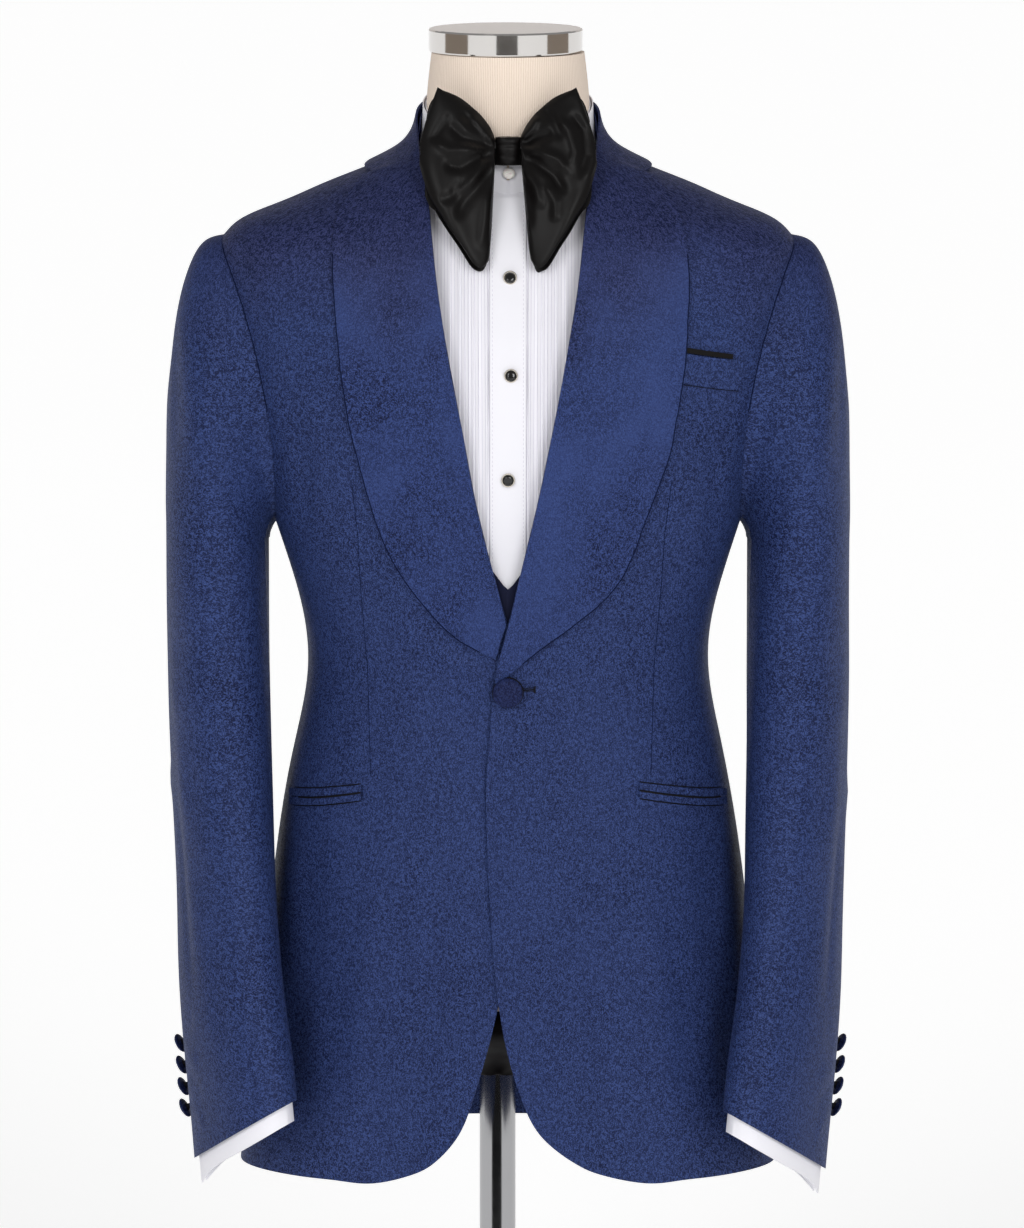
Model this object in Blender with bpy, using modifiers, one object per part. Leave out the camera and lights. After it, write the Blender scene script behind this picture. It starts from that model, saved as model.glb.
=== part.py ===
"""Dinner suit worn by a limbless dress form: shawl-lapel jacket, waistcoat,
pleated dress shirt and butterfly bow tie.

Metres, +Z up, the front faces -Y and +X is the wearer's left. The origin is
the middle of the stand's underside. Tables are in millimetres.

Every layer of cloth hangs on one body surface: a table of sections gives the
half width and the depths in front of and behind the shoulder line at each
height, and a point of a panel is a point of that surface moved out or in
along its normal.
"""
import math

import bmesh
import bpy
from mathutils import Vector

MM = 0.001
COLLECTION = "tuxedo_on_dress_form"

# ----------------------------------------------------------------- sections
# height, half width, depth in front, depth behind, squareness: the power is 2
# for an ellipse and more for a squarer section (outside of the jacket)
JACKET_SECTIONS = [
    (280.0, 197.5, 120.0, 129.0, 2.00),
    (340.0, 191.0, 121.0, 131.0, 2.00),
    (400.0, 184.0, 121.0, 131.0, 2.00),
    (460.0, 177.0, 120.0, 127.0, 2.02),
    (525.0, 168.5, 118.0, 117.0, 2.06),
    (570.0, 161.5, 116.0, 108.0, 2.10),
    (612.0, 152.0, 114.0, 100.0, 2.15),
    (656.0, 146.0, 113.0, 95.0, 2.20),
    (700.0, 151.5, 116.0, 97.0, 2.25),
    (744.0, 165.0, 121.0, 102.0, 2.30),
    (790.0, 178.0, 126.0, 109.0, 2.30),
    (830.0, 188.0, 128.0, 114.0, 2.30),
    (870.0, 197.0, 126.0, 117.0, 2.30),
    (910.0, 204.5, 119.0, 117.0, 2.30),
    (940.0, 208.5, 109.0, 112.0, 2.30),
    (960.0, 209.5, 101.0, 106.0, 2.30),
    (978.0, 195.0, 92.0, 100.0, 2.30),
    (992.0, 162.0, 83.0, 94.0, 2.30),
    (1006.0, 130.0, 73.0, 88.5, 2.30),
    (1015.0, 106.5, 67.0, 84.0, 2.30),
    (1024.0, 87.0, 60.5, 79.0, 2.25),
    (1033.0, 74.5, 56.0, 75.0, 2.20),
    (1042.0, 67.6, 53.5, 71.5, 2.15),
    (1055.0, 63.4, 52.5, 68.0, 2.10),
    (1080.0, 61.4, 52.0, 65.5, 2.10),
]
# the padded form under the cloth, up to the top of its neck
FORM_SECTIONS = [
    (413.0, 162.0, 103.0, 111.0, 2.02),
    (460.0, 159.0, 103.0, 110.0, 2.02),
    (525.0, 150.5, 101.0, 99.5, 2.05),
    (585.0, 139.5, 98.5, 87.5, 2.10),
    (620.0, 132.0, 96.5, 81.0, 2.15),
    (656.0, 128.5, 96.0, 78.0, 2.20),
    (707.0, 134.5, 98.5, 80.5, 2.25),
    (772.0, 151.5, 106.0, 88.5, 2.30),
    (840.0, 161.0, 110.0, 97.5, 2.30),
    (890.0, 167.0, 107.0, 100.0, 2.30),
    (925.0, 168.0, 97.5, 96.0, 2.30),
    (950.0, 166.0, 87.0, 89.0, 2.30),
    (970.0, 157.0, 77.5, 81.0, 2.30),
    (985.0, 134.0, 69.0, 75.0, 2.30),
    (1000.0, 100.0, 60.0, 67.0, 2.25),
    (1012.0, 77.0, 55.0, 61.5, 2.20),
    (1025.0, 60.8, 51.5, 58.5, 2.10),
    (1045.0, 57.8, 50.5, 57.0, 2.05),
    (1065.0, 58.9, 50.8, 56.5, 2.00),
    (1100.0, 55.4, 53.5, 55.5, 2.00),
]

# ------------------------------------------------------------------- layers
JACKET_WALL = 2.0
SEAM_GAP = 0.45              # clear space between two pieces at a seam
ARM_GAP = 0.7                # and between an armhole and its sleeve
UNDER_DROP = 3.6             # how far the covered front edge sinks
UNDER_FROM, UNDER_TO = -50.0, -14.0
LAPEL_LIFT = 3.1             # outer face of the shawl over the front
LAPEL_WALL = 1.6
LAPEL_FULL = 1.2             # how far the lapel rises between its roll and its edge
SHOULDER_LIFT = 0.5          # more room where the fall crosses the shoulder
STAND_LIFT, STAND_WALL = -0.2, 1.0
VEST_DEPTH, VEST_WALL = -6.4, 1.2
SHIRT_DEPTH, SHIRT_WALL = -10.6, 1.2
PLACKET_RISE, PLACKET_WALL = 0.6, 1.0
PLEAT_HEIGHT = 0.9

# heights that the waistcoat and the shirt share, so that neither cuts a corner
LAYER_ROWS = [585.0, 656.0, 738.0, 772.0, 840.0, 905.0, 960.0, 985.0, 1005.0, 1029.0]

# ----------------------------------------------------------------- outlines
SHOULDER_END = 968.0
UNDERARM = 757.0
NECKLINE = 1030.0
FRONT_HEM_ROWS = [294.0, 304.0, 325.0, 355.0]
BACK_HEM_ROWS = [294.0, 345.0]
ARMHOLE_SPREAD = 27.0        # degrees of the section on each side of the arm
CHEST_DEPTH = 120.0          # radius that turns a gap round the chest into degrees

# front edge of the top (wearer's left) and the covered (right) front:
# height, distance from the middle line towards the wearer's left
LEFT_EDGE = [
    (286.5, 100.0), (290.0, 76.0), (295.5, 66.5), (304.0, 48.0), (313.0, 32.5),
    (326.5, 22.0), (344.0, 13.0), (368.0, 3.5), (394.0, -2.5), (420.0, -7.2),
    (466.0, -11.5), (511.0, -15.1), (585.0, -15.8), (640.0, -11.0),
    (652.0, -10.0), (666.0, -7.9), (683.0, -3.6), (719.0, 5.8), (745.0, 11.5),
    (774.0, 18.6), (803.5, 25.1), (832.5, 30.8), (861.0, 36.5),
    (889.0, 41.5), (917.5, 46.5), (945.0, 50.8), (975.0, 54.0),
    (1000.0, 57.0), (1030.0, 62.5),
]
RIGHT_EDGE = [
    (286.5, -98.0), (291.0, -78.0), (297.0, -63.7), (301.0, -56.4),
    (314.5, -42.6), (328.5, -33.2), (344.0, -27.4), (371.5, -19.5),
    (394.0, -13.0), (420.0, -6.4), (466.0, 2.0), (511.0, 9.0), (585.0, 14.5),
    (640.0, 13.5), (660.0, 11.5), (698.0, -0.7), (728.0, -8.6), (745.0, -13.6),
    (774.5, -20.7), (803.5, -27.1), (832.5, -31.4), (861.0, -37.1),
    (889.0, -42.8), (917.5, -47.1), (945.0, -51.5), (975.0, -54.5),
    (1000.0, -57.0), (1030.0, -62.5),
]

# shawl stations on the chest: roll height, roll x, edge height, edge x
LEFT_SHAWL = [
    (655.0, -9.2, 654.0, -8.3),
    (666.0, -7.6, 660.0, 0.0),
    (683.0, -3.3, 674.0, 16.5),
    (707.0, 2.9, 687.0, 34.0),
    (733.0, 8.6, 707.0, 60.0),
    (761.0, 15.5, 733.0, 82.5),
    (790.0, 22.2, 775.0, 99.0),
    (818.0, 28.0, 812.0, 112.5),
    (846.0, 33.6, 845.0, 119.0),
    (875.0, 39.0, 880.0, 124.8),
    (903.0, 44.0, 912.0, 128.0),
    (932.0, 49.0, 945.0, 129.2),
    (960.0, 52.6, 975.0, 126.0),
    (985.0, 55.4, 994.0, 119.0),
    (1003.0, 58.0, 1006.0, 109.0),
    (1020.0, 61.5, 1012.0, 103.5),
]
RIGHT_SHAWL = [
    (697.0, -1.6, 671.5, -9.0),
    (704.0, -2.9, 677.0, -21.0),
    (714.0, -5.2, 687.0, -38.5),
    (733.0, -10.0, 707.0, -57.0),
    (761.0, -17.6, 737.0, -78.5),
    (790.0, -24.2, 773.0, -94.5),
    (818.0, -29.3, 812.0, -105.5),
    (846.0, -34.2, 845.0, -113.0),
    (875.0, -40.2, 880.0, -118.0),
    (903.0, -45.0, 912.0, -122.0),
    (932.0, -49.6, 945.0, -125.0),
    (960.0, -53.2, 975.0, -124.0),
    (985.0, -55.6, 994.0, -118.0),
    (1003.0, -58.0, 1006.0, -108.5),
    (1020.0, -61.5, 1012.0, -103.5),
]
# shawl round the neck: turn from the front (90 is the shoulder line, 180 the
# middle of the back), height of the fold, height of the edge on the shoulder
NECK_SHAWL = [
    (60.0, 1036.0, 1014.0),
    (75.0, 1047.0, 1015.5),
    (90.0, 1055.0, 1017.0),
    (105.0, 1060.0, 1018.5),
    (120.0, 1063.5, 1020.0),
    (135.0, 1066.0, 1021.0),
    (157.0, 1068.0, 1022.0),
    (179.6, 1068.5, 1022.5),
]

# sleeve rings below the arm: height, outer x, inner x, middle y, half length
# front to back, turn of the front edge inwards in degrees, rise of the ring
# towards the body and towards the front
SLEEVE_RINGS = [
    (744.0, 249.0, 174.5, 2.0, 73.0, 0.0, 0.0, 0.0),
    (690.0, 249.0, 174.0, -2.0, 71.5, 3.0, 0.0, 0.0),
    (630.0, 248.3, 173.5, -10.0, 69.0, 7.0, 0.0, 0.01),
    (565.0, 246.2, 172.5, -23.0, 67.0, 11.0, 0.03, 0.03),
    (495.0, 242.8, 170.5, -41.0, 65.0, 16.0, 0.09, 0.06),
    (435.0, 240.8, 166.3, -60.0, 63.5, 20.0, 0.18, 0.10),
    (388.0, 236.6, 161.0, -75.0, 62.5, 23.0, 0.31, 0.14),
    (356.0, 232.6, 157.5, -84.0, 62.0, 25.0, 0.45, 0.17),
    (324.5, 229.2, 154.8, -92.0, 61.5, 26.0, 0.567, 0.187),
]
# sleeve head: outermost point (x, height) and lowest point under the arm
HEAD_RINGS = [
    (221.0, 961.5, 170.2, 756.0),
    (232.5, 941.0, 171.4, 754.0),
    (241.4, 905.0, 172.4, 751.5),
    (247.0, 850.0, 173.4, 749.0),
    (248.8, 790.0, 174.0, 746.5),
]
SLEEVE_DROP = {"right": 0.0, "left": -8.0}   # the left sleeve hangs lower
SLEEVE_SWAY = {"right": -1.5, "left": 1.5}   # and farther from the body
SLEEVE_WALL = 1.8
TOP_SLEEVE = (-90.0, 157.5)                  # degrees round the ring, 0 outside
SLEEVE_STEP = 22.5
HEAD_DEPTH, HEAD_Y = 73.0, 2.0               # half length of the head's rings, their middle
SLEEVE_SQUARE = 0.92                         # power of the ring: 1 is an ellipse
CUFF_SHOWS, CUFF_LOBE = 13.5, 6.5            # below the hem, and at its open ends
CUFF_INSIDE, CUFF_INSET, CUFF_WALL = 35.0, 3.5, 1.4
CUFF_OPEN = (-42.0, 288.0)                   # degrees from one end round to the other
FIRST_BUTTON, BUTTON_PITCH = 379.0, 15.2
BUTTON_ANGLE, BUTTON_LEAN = -60.0, -0.55     # place round the ring, lean to the floor

# ------------------------------------------------------------------ fastenings
FRONT_BUTTON = (0.0, 648.0, 10.6)            # x, height, radius
SLEEVE_BUTTON_RADIUS = 7.3
STUDS = [(1.5, 948.9), (2.2, 878.3), (0.1, 801.4)]
PLACKET_HALF = 13.0
PLEAT_START = PLACKET_HALF + 2.0
PLEATS = 9
PLEAT_PITCH = 3.4

# ----------------------------------------------------------------------- stand
POLE_X = -7.7
POLE_RADIUS = 13.2
POLE_TOP = 350.5
BASE_RADIUS, BASE_HEIGHT = 180.0, 9.0
CAP_X, CAP_RADIUS, CAP_BOTTOM, CAP_TOP = -1.7, 55.8, 1100.6, 1117.2


# --------------------------------------------------------------------- helpers
def smooth_table(rows, key, column):
    """Value of a table's column at a height, on a curve without corners."""
    keys = [row[0] for row in rows]
    if key <= keys[0]:
        return rows[0][column]
    if key >= keys[-1]:
        return rows[-1][column]
    i = max(k for k in range(len(keys) - 1) if keys[k] <= key)

    def slope(k):
        low, high = max(k - 1, 0), min(k + 1, len(keys) - 1)
        return (rows[high][column] - rows[low][column]) / (keys[high] - keys[low])

    span = keys[i + 1] - keys[i]
    t = (key - keys[i]) / span
    a, b = rows[i][column], rows[i + 1][column]
    return ((2 * t**3 - 3 * t**2 + 1) * a + (t**3 - 2 * t**2 + t) * span * slope(i)
            + (3 * t**2 - 2 * t**3) * b + (t**3 - t**2) * span * slope(i + 1))


def straight_table(rows, key, column=1):
    """Value of a table's column at a height, on straight runs."""
    for low, high in zip(rows, rows[1:]):
        if key <= high[0]:
            t = (key - low[0]) / (high[0] - low[0])
            return low[column] + max(t, 0.0) * (high[column] - low[column])
    return rows[-1][column]


def ease(value, low, high):
    """0 below low, 1 above high, smooth between."""
    t = min(max((value - low) / (high - low), 0.0), 1.0)
    return t * t * (3 - 2 * t)


def signed_power(value, power):
    return math.copysign(abs(value) ** power, value)


def raw_point(sections, turn, height):
    """Point of a sectioned surface; turn is in degrees from the front."""
    read = straight_table if sections is FORM_SECTIONS else smooth_table
    half, power = read(sections, height, 1), read(sections, height, 4)
    angle = math.radians(turn)
    depth = read(sections, height, 2 if math.cos(angle) > 0 else 3)
    return Vector((half * signed_power(math.sin(angle), 2 / power),
                   -depth * signed_power(math.cos(angle), 2 / power), height))


def body_point(turn, height, lift=0.0, sections=JACKET_SECTIONS):
    """Point of the body surface moved out along its normal, in millimetres."""
    here = raw_point(sections, turn, height)
    if not lift:
        return here
    step = 1.5
    across = (raw_point(sections, turn + step, height)
              - raw_point(sections, turn - step, height))
    along = (raw_point(sections, turn, height + step)
             - raw_point(sections, turn, height - step))
    return here + lift * across.cross(along).normalized()


def turn_at(x, height):
    """Turn in degrees at which the front of the body surface has this x."""
    half = smooth_table(JACKET_SECTIONS, height, 1)
    power = smooth_table(JACKET_SECTIONS, height, 4)
    ratio = min(abs(x) / half, 1.0) ** (power / 2)
    return math.copysign(math.degrees(math.asin(ratio)), x)


def spread(low, high, count):
    """count + 1 evenly spaced values from low to high."""
    return [low + (high - low) * i / count for i in range(count + 1)]


def material(name, colour, roughness, metallic=0.0):
    made = bpy.data.materials.new(name)
    made.use_nodes = True
    shader = made.node_tree.nodes["Principled BSDF"]
    shader.inputs["Base Color"].default_value = (*colour, 1.0)
    shader.inputs["Roughness"].default_value = roughness
    shader.inputs["Metallic"].default_value = metallic
    made.diffuse_color = (*colour, 1.0)
    return made


def add_object(name, mesh, finish):
    made = bpy.data.objects.new(name, mesh)
    mesh.materials.append(finish)
    bpy.data.collections[COLLECTION].objects.link(made)
    return made


def grid_mesh(name, rows, closed=False, flip=False, caps=False):
    """Quads between rows of points in millimetres."""
    mesh = bpy.data.meshes.new(name)
    shape = bmesh.new()
    verts = [[shape.verts.new(Vector(point) * MM) for point in row] for row in rows]
    columns = len(rows[0])
    for low, high in zip(verts, verts[1:]):
        for i in range(columns if closed else columns - 1):
            j = (i + 1) % columns
            face = [low[i], low[j], high[j], high[i]]
            shape.faces.new(face[::-1] if flip else face)
    if caps:
        shape.faces.new(verts[-1][::-1] if flip else verts[-1])
        shape.faces.new(verts[0] if flip else verts[0][::-1])
    shape.to_mesh(mesh)
    shape.free()
    mesh.shade_smooth()
    return mesh


def shell(name, rows, wall, finish, closed=False, flip=False):
    """Sheet of cloth whose wall grows inwards from the given outer face."""
    made = add_object(name, grid_mesh(name, rows, closed, flip), finish)
    solidify = made.modifiers.new("wall", "SOLIDIFY")
    solidify.thickness = wall * MM
    solidify.offset = -1.0
    return made


def two_face_wall(name, outer, inner, finish, flip=False):
    """Wall between an outer and an inner grid of points, closed at its rim."""
    mesh = bpy.data.meshes.new(name)
    shape = bmesh.new()
    faces_out = [[shape.verts.new(p * MM) for p in row] for row in outer]
    faces_in = [[shape.verts.new(p * MM) for p in row] for row in inner]

    def face(*corners):
        shape.faces.new(corners[::-1] if flip else corners)

    rows, columns = len(outer), len(outer[0])
    for i in range(rows - 1):
        for j in range(columns - 1):
            a, b, c, d = (faces_out[i][j], faces_out[i][j + 1],
                          faces_out[i + 1][j + 1], faces_out[i + 1][j])
            e, f, g, h = (faces_in[i][j], faces_in[i][j + 1],
                          faces_in[i + 1][j + 1], faces_in[i + 1][j])
            # both sides bend along the same diagonal, so the wall keeps its thickness
            if (a.co - c.co).length <= (b.co - d.co).length:
                for corners in ((a, b, c), (a, c, d), (e, g, f), (e, h, g)):
                    face(*corners)
            else:
                for corners in ((a, b, d), (b, c, d), (e, h, f), (f, h, g)):
                    face(*corners)
        face(faces_in[i][0], faces_out[i][0], faces_out[i + 1][0], faces_in[i + 1][0])
        face(faces_out[i][-1], faces_in[i][-1], faces_in[i + 1][-1], faces_out[i + 1][-1])
    for j in range(columns - 1):
        face(faces_in[0][j], faces_in[0][j + 1], faces_out[0][j + 1], faces_out[0][j])
        face(faces_out[-1][j], faces_out[-1][j + 1], faces_in[-1][j + 1], faces_in[-1][j])
    shape.to_mesh(mesh)
    shape.free()
    mesh.shade_smooth()
    return add_object(name, mesh, finish)


def body_sheet(name, grid, wall, finish, flip=False, sections=JACKET_SECTIONS):
    """Cloth on the body surface; grid rows hold (turn, height, lift of the face)."""
    outer, inner = [[[body_point(turn, height, lift - sunk, sections)
                      for turn, height, lift in row] for row in grid]
                    for sunk in (0.0, wall)]
    return two_face_wall(name, outer, inner, finish, flip)


def turned(name, profile, finish, steps=32, place=(0.0, 0.0, 0.0)):
    """Body of revolution; profile rows are (radius, height) from the foot up."""
    outline = [(0.0, profile[0][1])] + list(profile) + [(0.0, profile[-1][1])]
    mesh = bpy.data.meshes.new(name)
    mesh.from_pydata([(r * MM, 0.0, z * MM) for r, z in reversed(outline)],
                     [(i, i + 1) for i in range(len(outline) - 1)], [])
    made = add_object(name, mesh, finish)
    made.location = Vector(place) * MM
    screw = made.modifiers.new("turn", "SCREW")
    screw.axis = "Z"
    screw.angle = math.tau
    screw.steps = screw.render_steps = steps
    screw.use_merge_vertices = True
    screw.merge_threshold = 0.000001
    return made


def dome(name, profile, finish, place, outward, steps=16):
    """Button or stud: a turned form whose axis points outward from the cloth."""
    made = turned(name, profile, finish, steps, place)
    made.rotation_mode = "QUATERNION"
    made.rotation_quaternion = Vector((0, 0, 1)).rotation_difference(Vector(outward))
    return made


# ---------------------------------------------------------------------- jacket
def armhole(height, low=UNDERARM, high=SHOULDER_END, wide=ARMHOLE_SPREAD):
    """Degrees that an armhole takes from the shoulder line at this height."""
    middle, half = (high + low) / 2, (high - low) / 2
    ratio = min(max((height - middle) / half, -1.0), 1.0)
    return wide * math.sqrt(1 - ratio * ratio)


def armhole_heights(count, low=UNDERARM, high=SHOULDER_END):
    middle, half = (high + low) / 2, (high - low) / 2
    return [middle - half * math.cos(math.pi * i / count) for i in range(count + 1)]


# rows of the jacket's panels above the hem: side, armhole, shoulder slope
PANEL_ROWS = [400.0, 470.0, 535.0, 585.0, 620.0, 656.0, 700.0] + armhole_heights(8) + [
    978.0, 986.0, 994.0, 1003.0, 1012.0, 1021.0, NECKLINE]


def seam_turn(gap, height):
    """Degrees that a clear gap takes at the side of the section."""
    return math.degrees(gap / 2 / smooth_table(JACKET_SECTIONS, height, 2))


def front_lift(side, x):
    """The covered right front sinks below the left one near the middle."""
    if side == "left":
        return 0.0
    return -UNDER_DROP * ease(x, UNDER_FROM, UNDER_TO)


def jacket_front(side, finish):
    sign = 1 if side == "left" else -1
    edge = LEFT_EDGE if side == "left" else RIGHT_EDGE
    foot = edge[0][0]
    rows = []
    for height in [foot] + FRONT_HEM_ROWS + PANEL_ROWS:
        inner_x = straight_table(edge, height)
        inner = turn_at(inner_x, height)
        outer = sign * (90.0 - armhole(height) - seam_turn(SEAM_GAP, height))
        row = []
        for turn in spread(inner, outer, 7):
            point = raw_point(JACKET_SECTIONS, turn, height)
            row.append((turn, height, front_lift(side, point.x)))
        rows.append(row)
    body_sheet(f"jacket_front_{side}", rows, JACKET_WALL, finish, flip=sign < 0)


def jacket_back(side, finish):
    sign = 1 if side == "left" else -1
    rows = []
    for height in BACK_HEM_ROWS + PANEL_ROWS:
        inner = sign * (90.0 + armhole(height) + seam_turn(SEAM_GAP, height))
        middle = sign * (180.0 - seam_turn(SEAM_GAP, height))
        rows.append([(turn, height, 0.0) for turn in spread(inner, middle, 6)])
    body_sheet(f"jacket_back_{side}", rows, JACKET_WALL, finish, flip=sign < 0)


def shawl(side, finish):
    """Lapel and collar fall in one strip from the button to the centre back."""
    sign = 1 if side == "left" else -1
    stations = LEFT_SHAWL if side == "left" else RIGHT_SHAWL
    rows = []
    for roll_z, roll_x, edge_z, edge_x in stations:
        row = []
        for t in spread(0.0, 1.0, 4):
            height = roll_z + t * (edge_z - roll_z)
            x = roll_x + t * (edge_x - roll_x)
            lift = (LAPEL_LIFT + front_lift(side, x) + LAPEL_FULL * math.sin(math.pi * t)
                    + SHOULDER_LIFT * ease(height, 940.0, 985.0))
            row.append((turn_at(x, height), height, lift))
        rows.append(row)
    for turn, fold_z, edge_z in NECK_SHAWL:
        rows.append([(sign * turn, fold_z + t * (edge_z - fold_z), LAPEL_LIFT + SHOULDER_LIFT)
                     for t in spread(0.0, 1.0, 4)])
    body_sheet(f"shawl_collar_{side}", rows, LAPEL_WALL, finish, flip=sign < 0)


def collar_stand(finish):
    """Upright band inside the fall, from one side of the neck to the other."""
    turns = spread(75.0, 285.0, 14)
    rows = []
    for share in (0.0, 0.5, 1.0):
        row = []
        for turn in turns:
            fold = smooth_table(NECK_SHAWL, min(turn, 360.0 - turn), 1)
            foot, top = NECKLINE + 2.0, fold - 3.0
            row.append((turn, foot + share * (top - foot), STAND_LIFT))
        rows.append(row)
    body_sheet("collar_stand", rows, STAND_WALL, finish)


# --------------------------------------------------------------------- sleeves
def armhole_point(side, angle, lift, low, gap):
    """Point just inside the armhole's edge; angle 0 is the shoulder, 90 the front."""
    sign = 1 if side == "left" else -1
    middle, half = (SHOULDER_END + low) / 2, (SHOULDER_END - low) / 2 - gap
    height = middle + half * math.cos(math.radians(angle))
    wide = ARMHOLE_SPREAD - math.degrees(gap / CHEST_DEPTH)
    return body_point(sign * (90.0 - wide * math.sin(math.radians(angle))), height, lift)


def sleeve_ring(side, row, angles, shrink):
    """Ring of a hanging sleeve; angle 0 is outside and 90 the front edge."""
    sign = 1 if side == "left" else -1
    height, outer, inner, middle_y, half_long, turn, rise_in, rise_front = row
    hang = ease(SLEEVE_RINGS[0][0] - height, 0.0, 300.0)
    a = math.radians(turn)
    half_seen = (outer - inner) / 2
    # the short half axis that leaves the ring as wide from the front as half_seen
    short = math.sqrt(half_seen**2 - (half_long * math.sin(a))**2) / math.cos(a)
    centre = Vector((sign * ((outer + inner) / 2 + hang * SLEEVE_SWAY[side]), middle_y,
                     height + hang * SLEEVE_DROP[side]))
    out_way = Vector((sign * math.cos(a), -math.sin(a), 0.0))
    front_way = Vector((-sign * math.sin(a), -math.cos(a), 0.0))
    ring = []
    for angle in angles:
        c, s = math.cos(math.radians(angle)), math.sin(math.radians(angle))
        way = ((short - shrink) * signed_power(c, SLEEVE_SQUARE) * out_way
               + (half_long - shrink) * signed_power(s, SLEEVE_SQUARE) * front_way)
        way.z = -sign * way.x * rise_in - way.y * rise_front
        ring.append(centre + way)
    return ring


def head_ring(side, row, angles, shrink, share, edge, edge_ends):
    """Ring of the sleeve head, part armhole edge and part hanging ellipse."""
    sign = 1 if side == "left" else -1
    top_x, top_z, low_x, low_z = row
    slant = 0.7 * shrink
    top = Vector((sign * (top_x - slant), HEAD_Y, top_z - slant))
    low = Vector((sign * (low_x + slant), HEAD_Y, low_z + slant))
    first_top, first_low = edge_ends
    ring = []
    for angle, on_edge in zip(angles, edge):
        c, s = math.cos(math.radians(angle)), math.sin(math.radians(angle))
        plain = (top + low) / 2 + (top - low) / 2 * c
        plain.y -= (HEAD_DEPTH - shrink) * s
        start = (first_top + first_low) / 2 + (first_top - first_low) / 2 * c
        start.y -= (HEAD_DEPTH - shrink) * s
        ring.append(plain + share * (on_edge - start))
    return ring


def sleeve_rings(side, angles, shrink=0.0, lift=0.0, gap=ARM_GAP, underarm=UNDERARM):
    """Rings of a sleeve from its hem up to the armhole's edge."""
    edge, edge_ends = ([armhole_point(side, angle, lift, underarm, gap) for angle in some]
                       for some in (angles, (0.0, 180.0)))
    rings = [edge]
    for i, row in enumerate(HEAD_RINGS):
        share = max(0.0, 1.0 - (i + 1) / 4.0)
        rings.append(head_ring(side, row, angles, shrink, share, edge, edge_ends))
    for row in SLEEVE_RINGS:
        rings.append(sleeve_ring(side, row, angles, shrink))
    return rings[::-1]


def sleeve(side, finish):
    """Two-piece sleeve: the top sleeve and the narrower under sleeve."""
    low, high = TOP_SLEEVE
    seam = 0.5                      # degrees that half the seam's gap takes
    count, whole = round((high - low) / SLEEVE_STEP), round(360.0 / SLEEVE_STEP)
    top = spread(low + seam, high - seam, count)
    under = spread(high + seam, low + 360.0 - seam, whole - count)
    for piece, angles in (("top", top), ("under", under)):
        outer = sleeve_rings(side, angles)
        inner = sleeve_rings(side, angles, SLEEVE_WALL, -SLEEVE_WALL)
        two_face_wall(f"sleeve_{piece}_{side}", outer, inner, finish, flip=side == "left")


def cuff_row(side, below, angles, shrink):
    """Ring of the shirt cuff, so far below the sleeve's hem."""
    ring = sleeve_ring(side, SLEEVE_RINGS[-1], angles, shrink)
    before = sleeve_ring(side, SLEEVE_RINGS[-2], angles, shrink)
    heading = [(a - b).normalized() for a, b in zip(ring, before)]
    return [point + way * drop for point, way, drop in zip(ring, heading, below)]


def shirt_cuff(side, finish):
    """French cuff left open at the back, its two ends hanging as lobes."""
    angles = spread(*CUFF_OPEN, 16)
    bottom = []
    for angle in angles:
        near_end = min(angle - angles[0], angles[-1] - angle)
        bottom.append(CUFF_SHOWS + CUFF_LOBE * (1.0 - ease(near_end, 8.0, 30.0)))
    level, hidden = [0.0] * len(angles), [-CUFF_INSIDE] * len(angles)
    rows = [cuff_row(side, below, angles, CUFF_INSET) for below in (bottom, level, hidden)]
    shell(f"shirt_cuff_{side}", rows, CUFF_WALL, finish, flip=side == "left")


def shirt_sleeve(side, finish):
    """Shirt's sleeve inside the jacket's, on every second ring of it."""
    angles = spread(0.0, 315.0, 7)
    rings = sleeve_rings(side, angles, 7.2, SHIRT_DEPTH - PLEAT_HEIGHT, 3.0, SHIRT_UNDERARM)
    kept = [ring for i, ring in enumerate(rings) if i in (2, 4, 5, 7, 8, 10, 12, 14)]
    shell(f"shirt_sleeve_{side}", kept, 1.0, finish, closed=True, flip=side == "left")


# --------------------------------------------------------------------- pockets
def patch(name, corners, lift, wall, finish, columns=4, rows=1):
    """Strip on a front panel between four (x, height) corners."""
    (ax, az), (bx, bz), (cx, cz), (dx, dz) = corners
    grid = []
    for v in spread(0.0, 1.0, rows):
        row = []
        for u in spread(0.0, 1.0, columns):
            x = (ax + u * (bx - ax)) * (1 - v) + (dx + u * (cx - dx)) * v
            z = (az + u * (bz - az)) * (1 - v) + (dz + u * (cz - dz)) * v
            row.append((turn_at(x, z), z, lift))
        grid.append(row)
    body_sheet(name, grid, wall, finish)


def pockets(cloth, satin):
    patch("breast_welt", [(123.5, 870.5), (165.5, 862.5), (168.0, 883.5), (126.5, 891.5)],
          2.0, 1.1, cloth)
    patch("breast_pocket_edge", [(126.6, 892.3), (160.5, 885.6), (160.5, 889.2), (126.8, 896.0)],
          2.0, 1.1, satin)
    for side, sign in (("left", 1), ("right", -1)):
        near, far = 94.5 * sign, 158.0 * sign
        low, high = (near, far) if sign > 0 else (far, near)
        fall = (579.5, 565.0) if sign > 0 else (565.0, 579.5)
        for part, top, deep in (("upper", 0.0, 5.0), ("lower", -5.6, 5.6)):
            patch(f"hip_jet_{part}_{side}",
                  [(low, fall[0] + top - deep), (high, fall[1] + top - deep),
                   (high, fall[1] + top), (low, fall[0] + top)], 1.7, 1.0, cloth)


# ------------------------------------------------------------------- fastenings
def button_profile(radius, thick, stem, stem_radius):
    """Covered button: stem, flat back, full rim and a low domed face."""
    return [(stem_radius, 0.0), (stem_radius, stem), (radius * 0.88, stem),
            (radius, stem + thick * 0.45), (radius * 0.6, stem + thick)]


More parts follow.
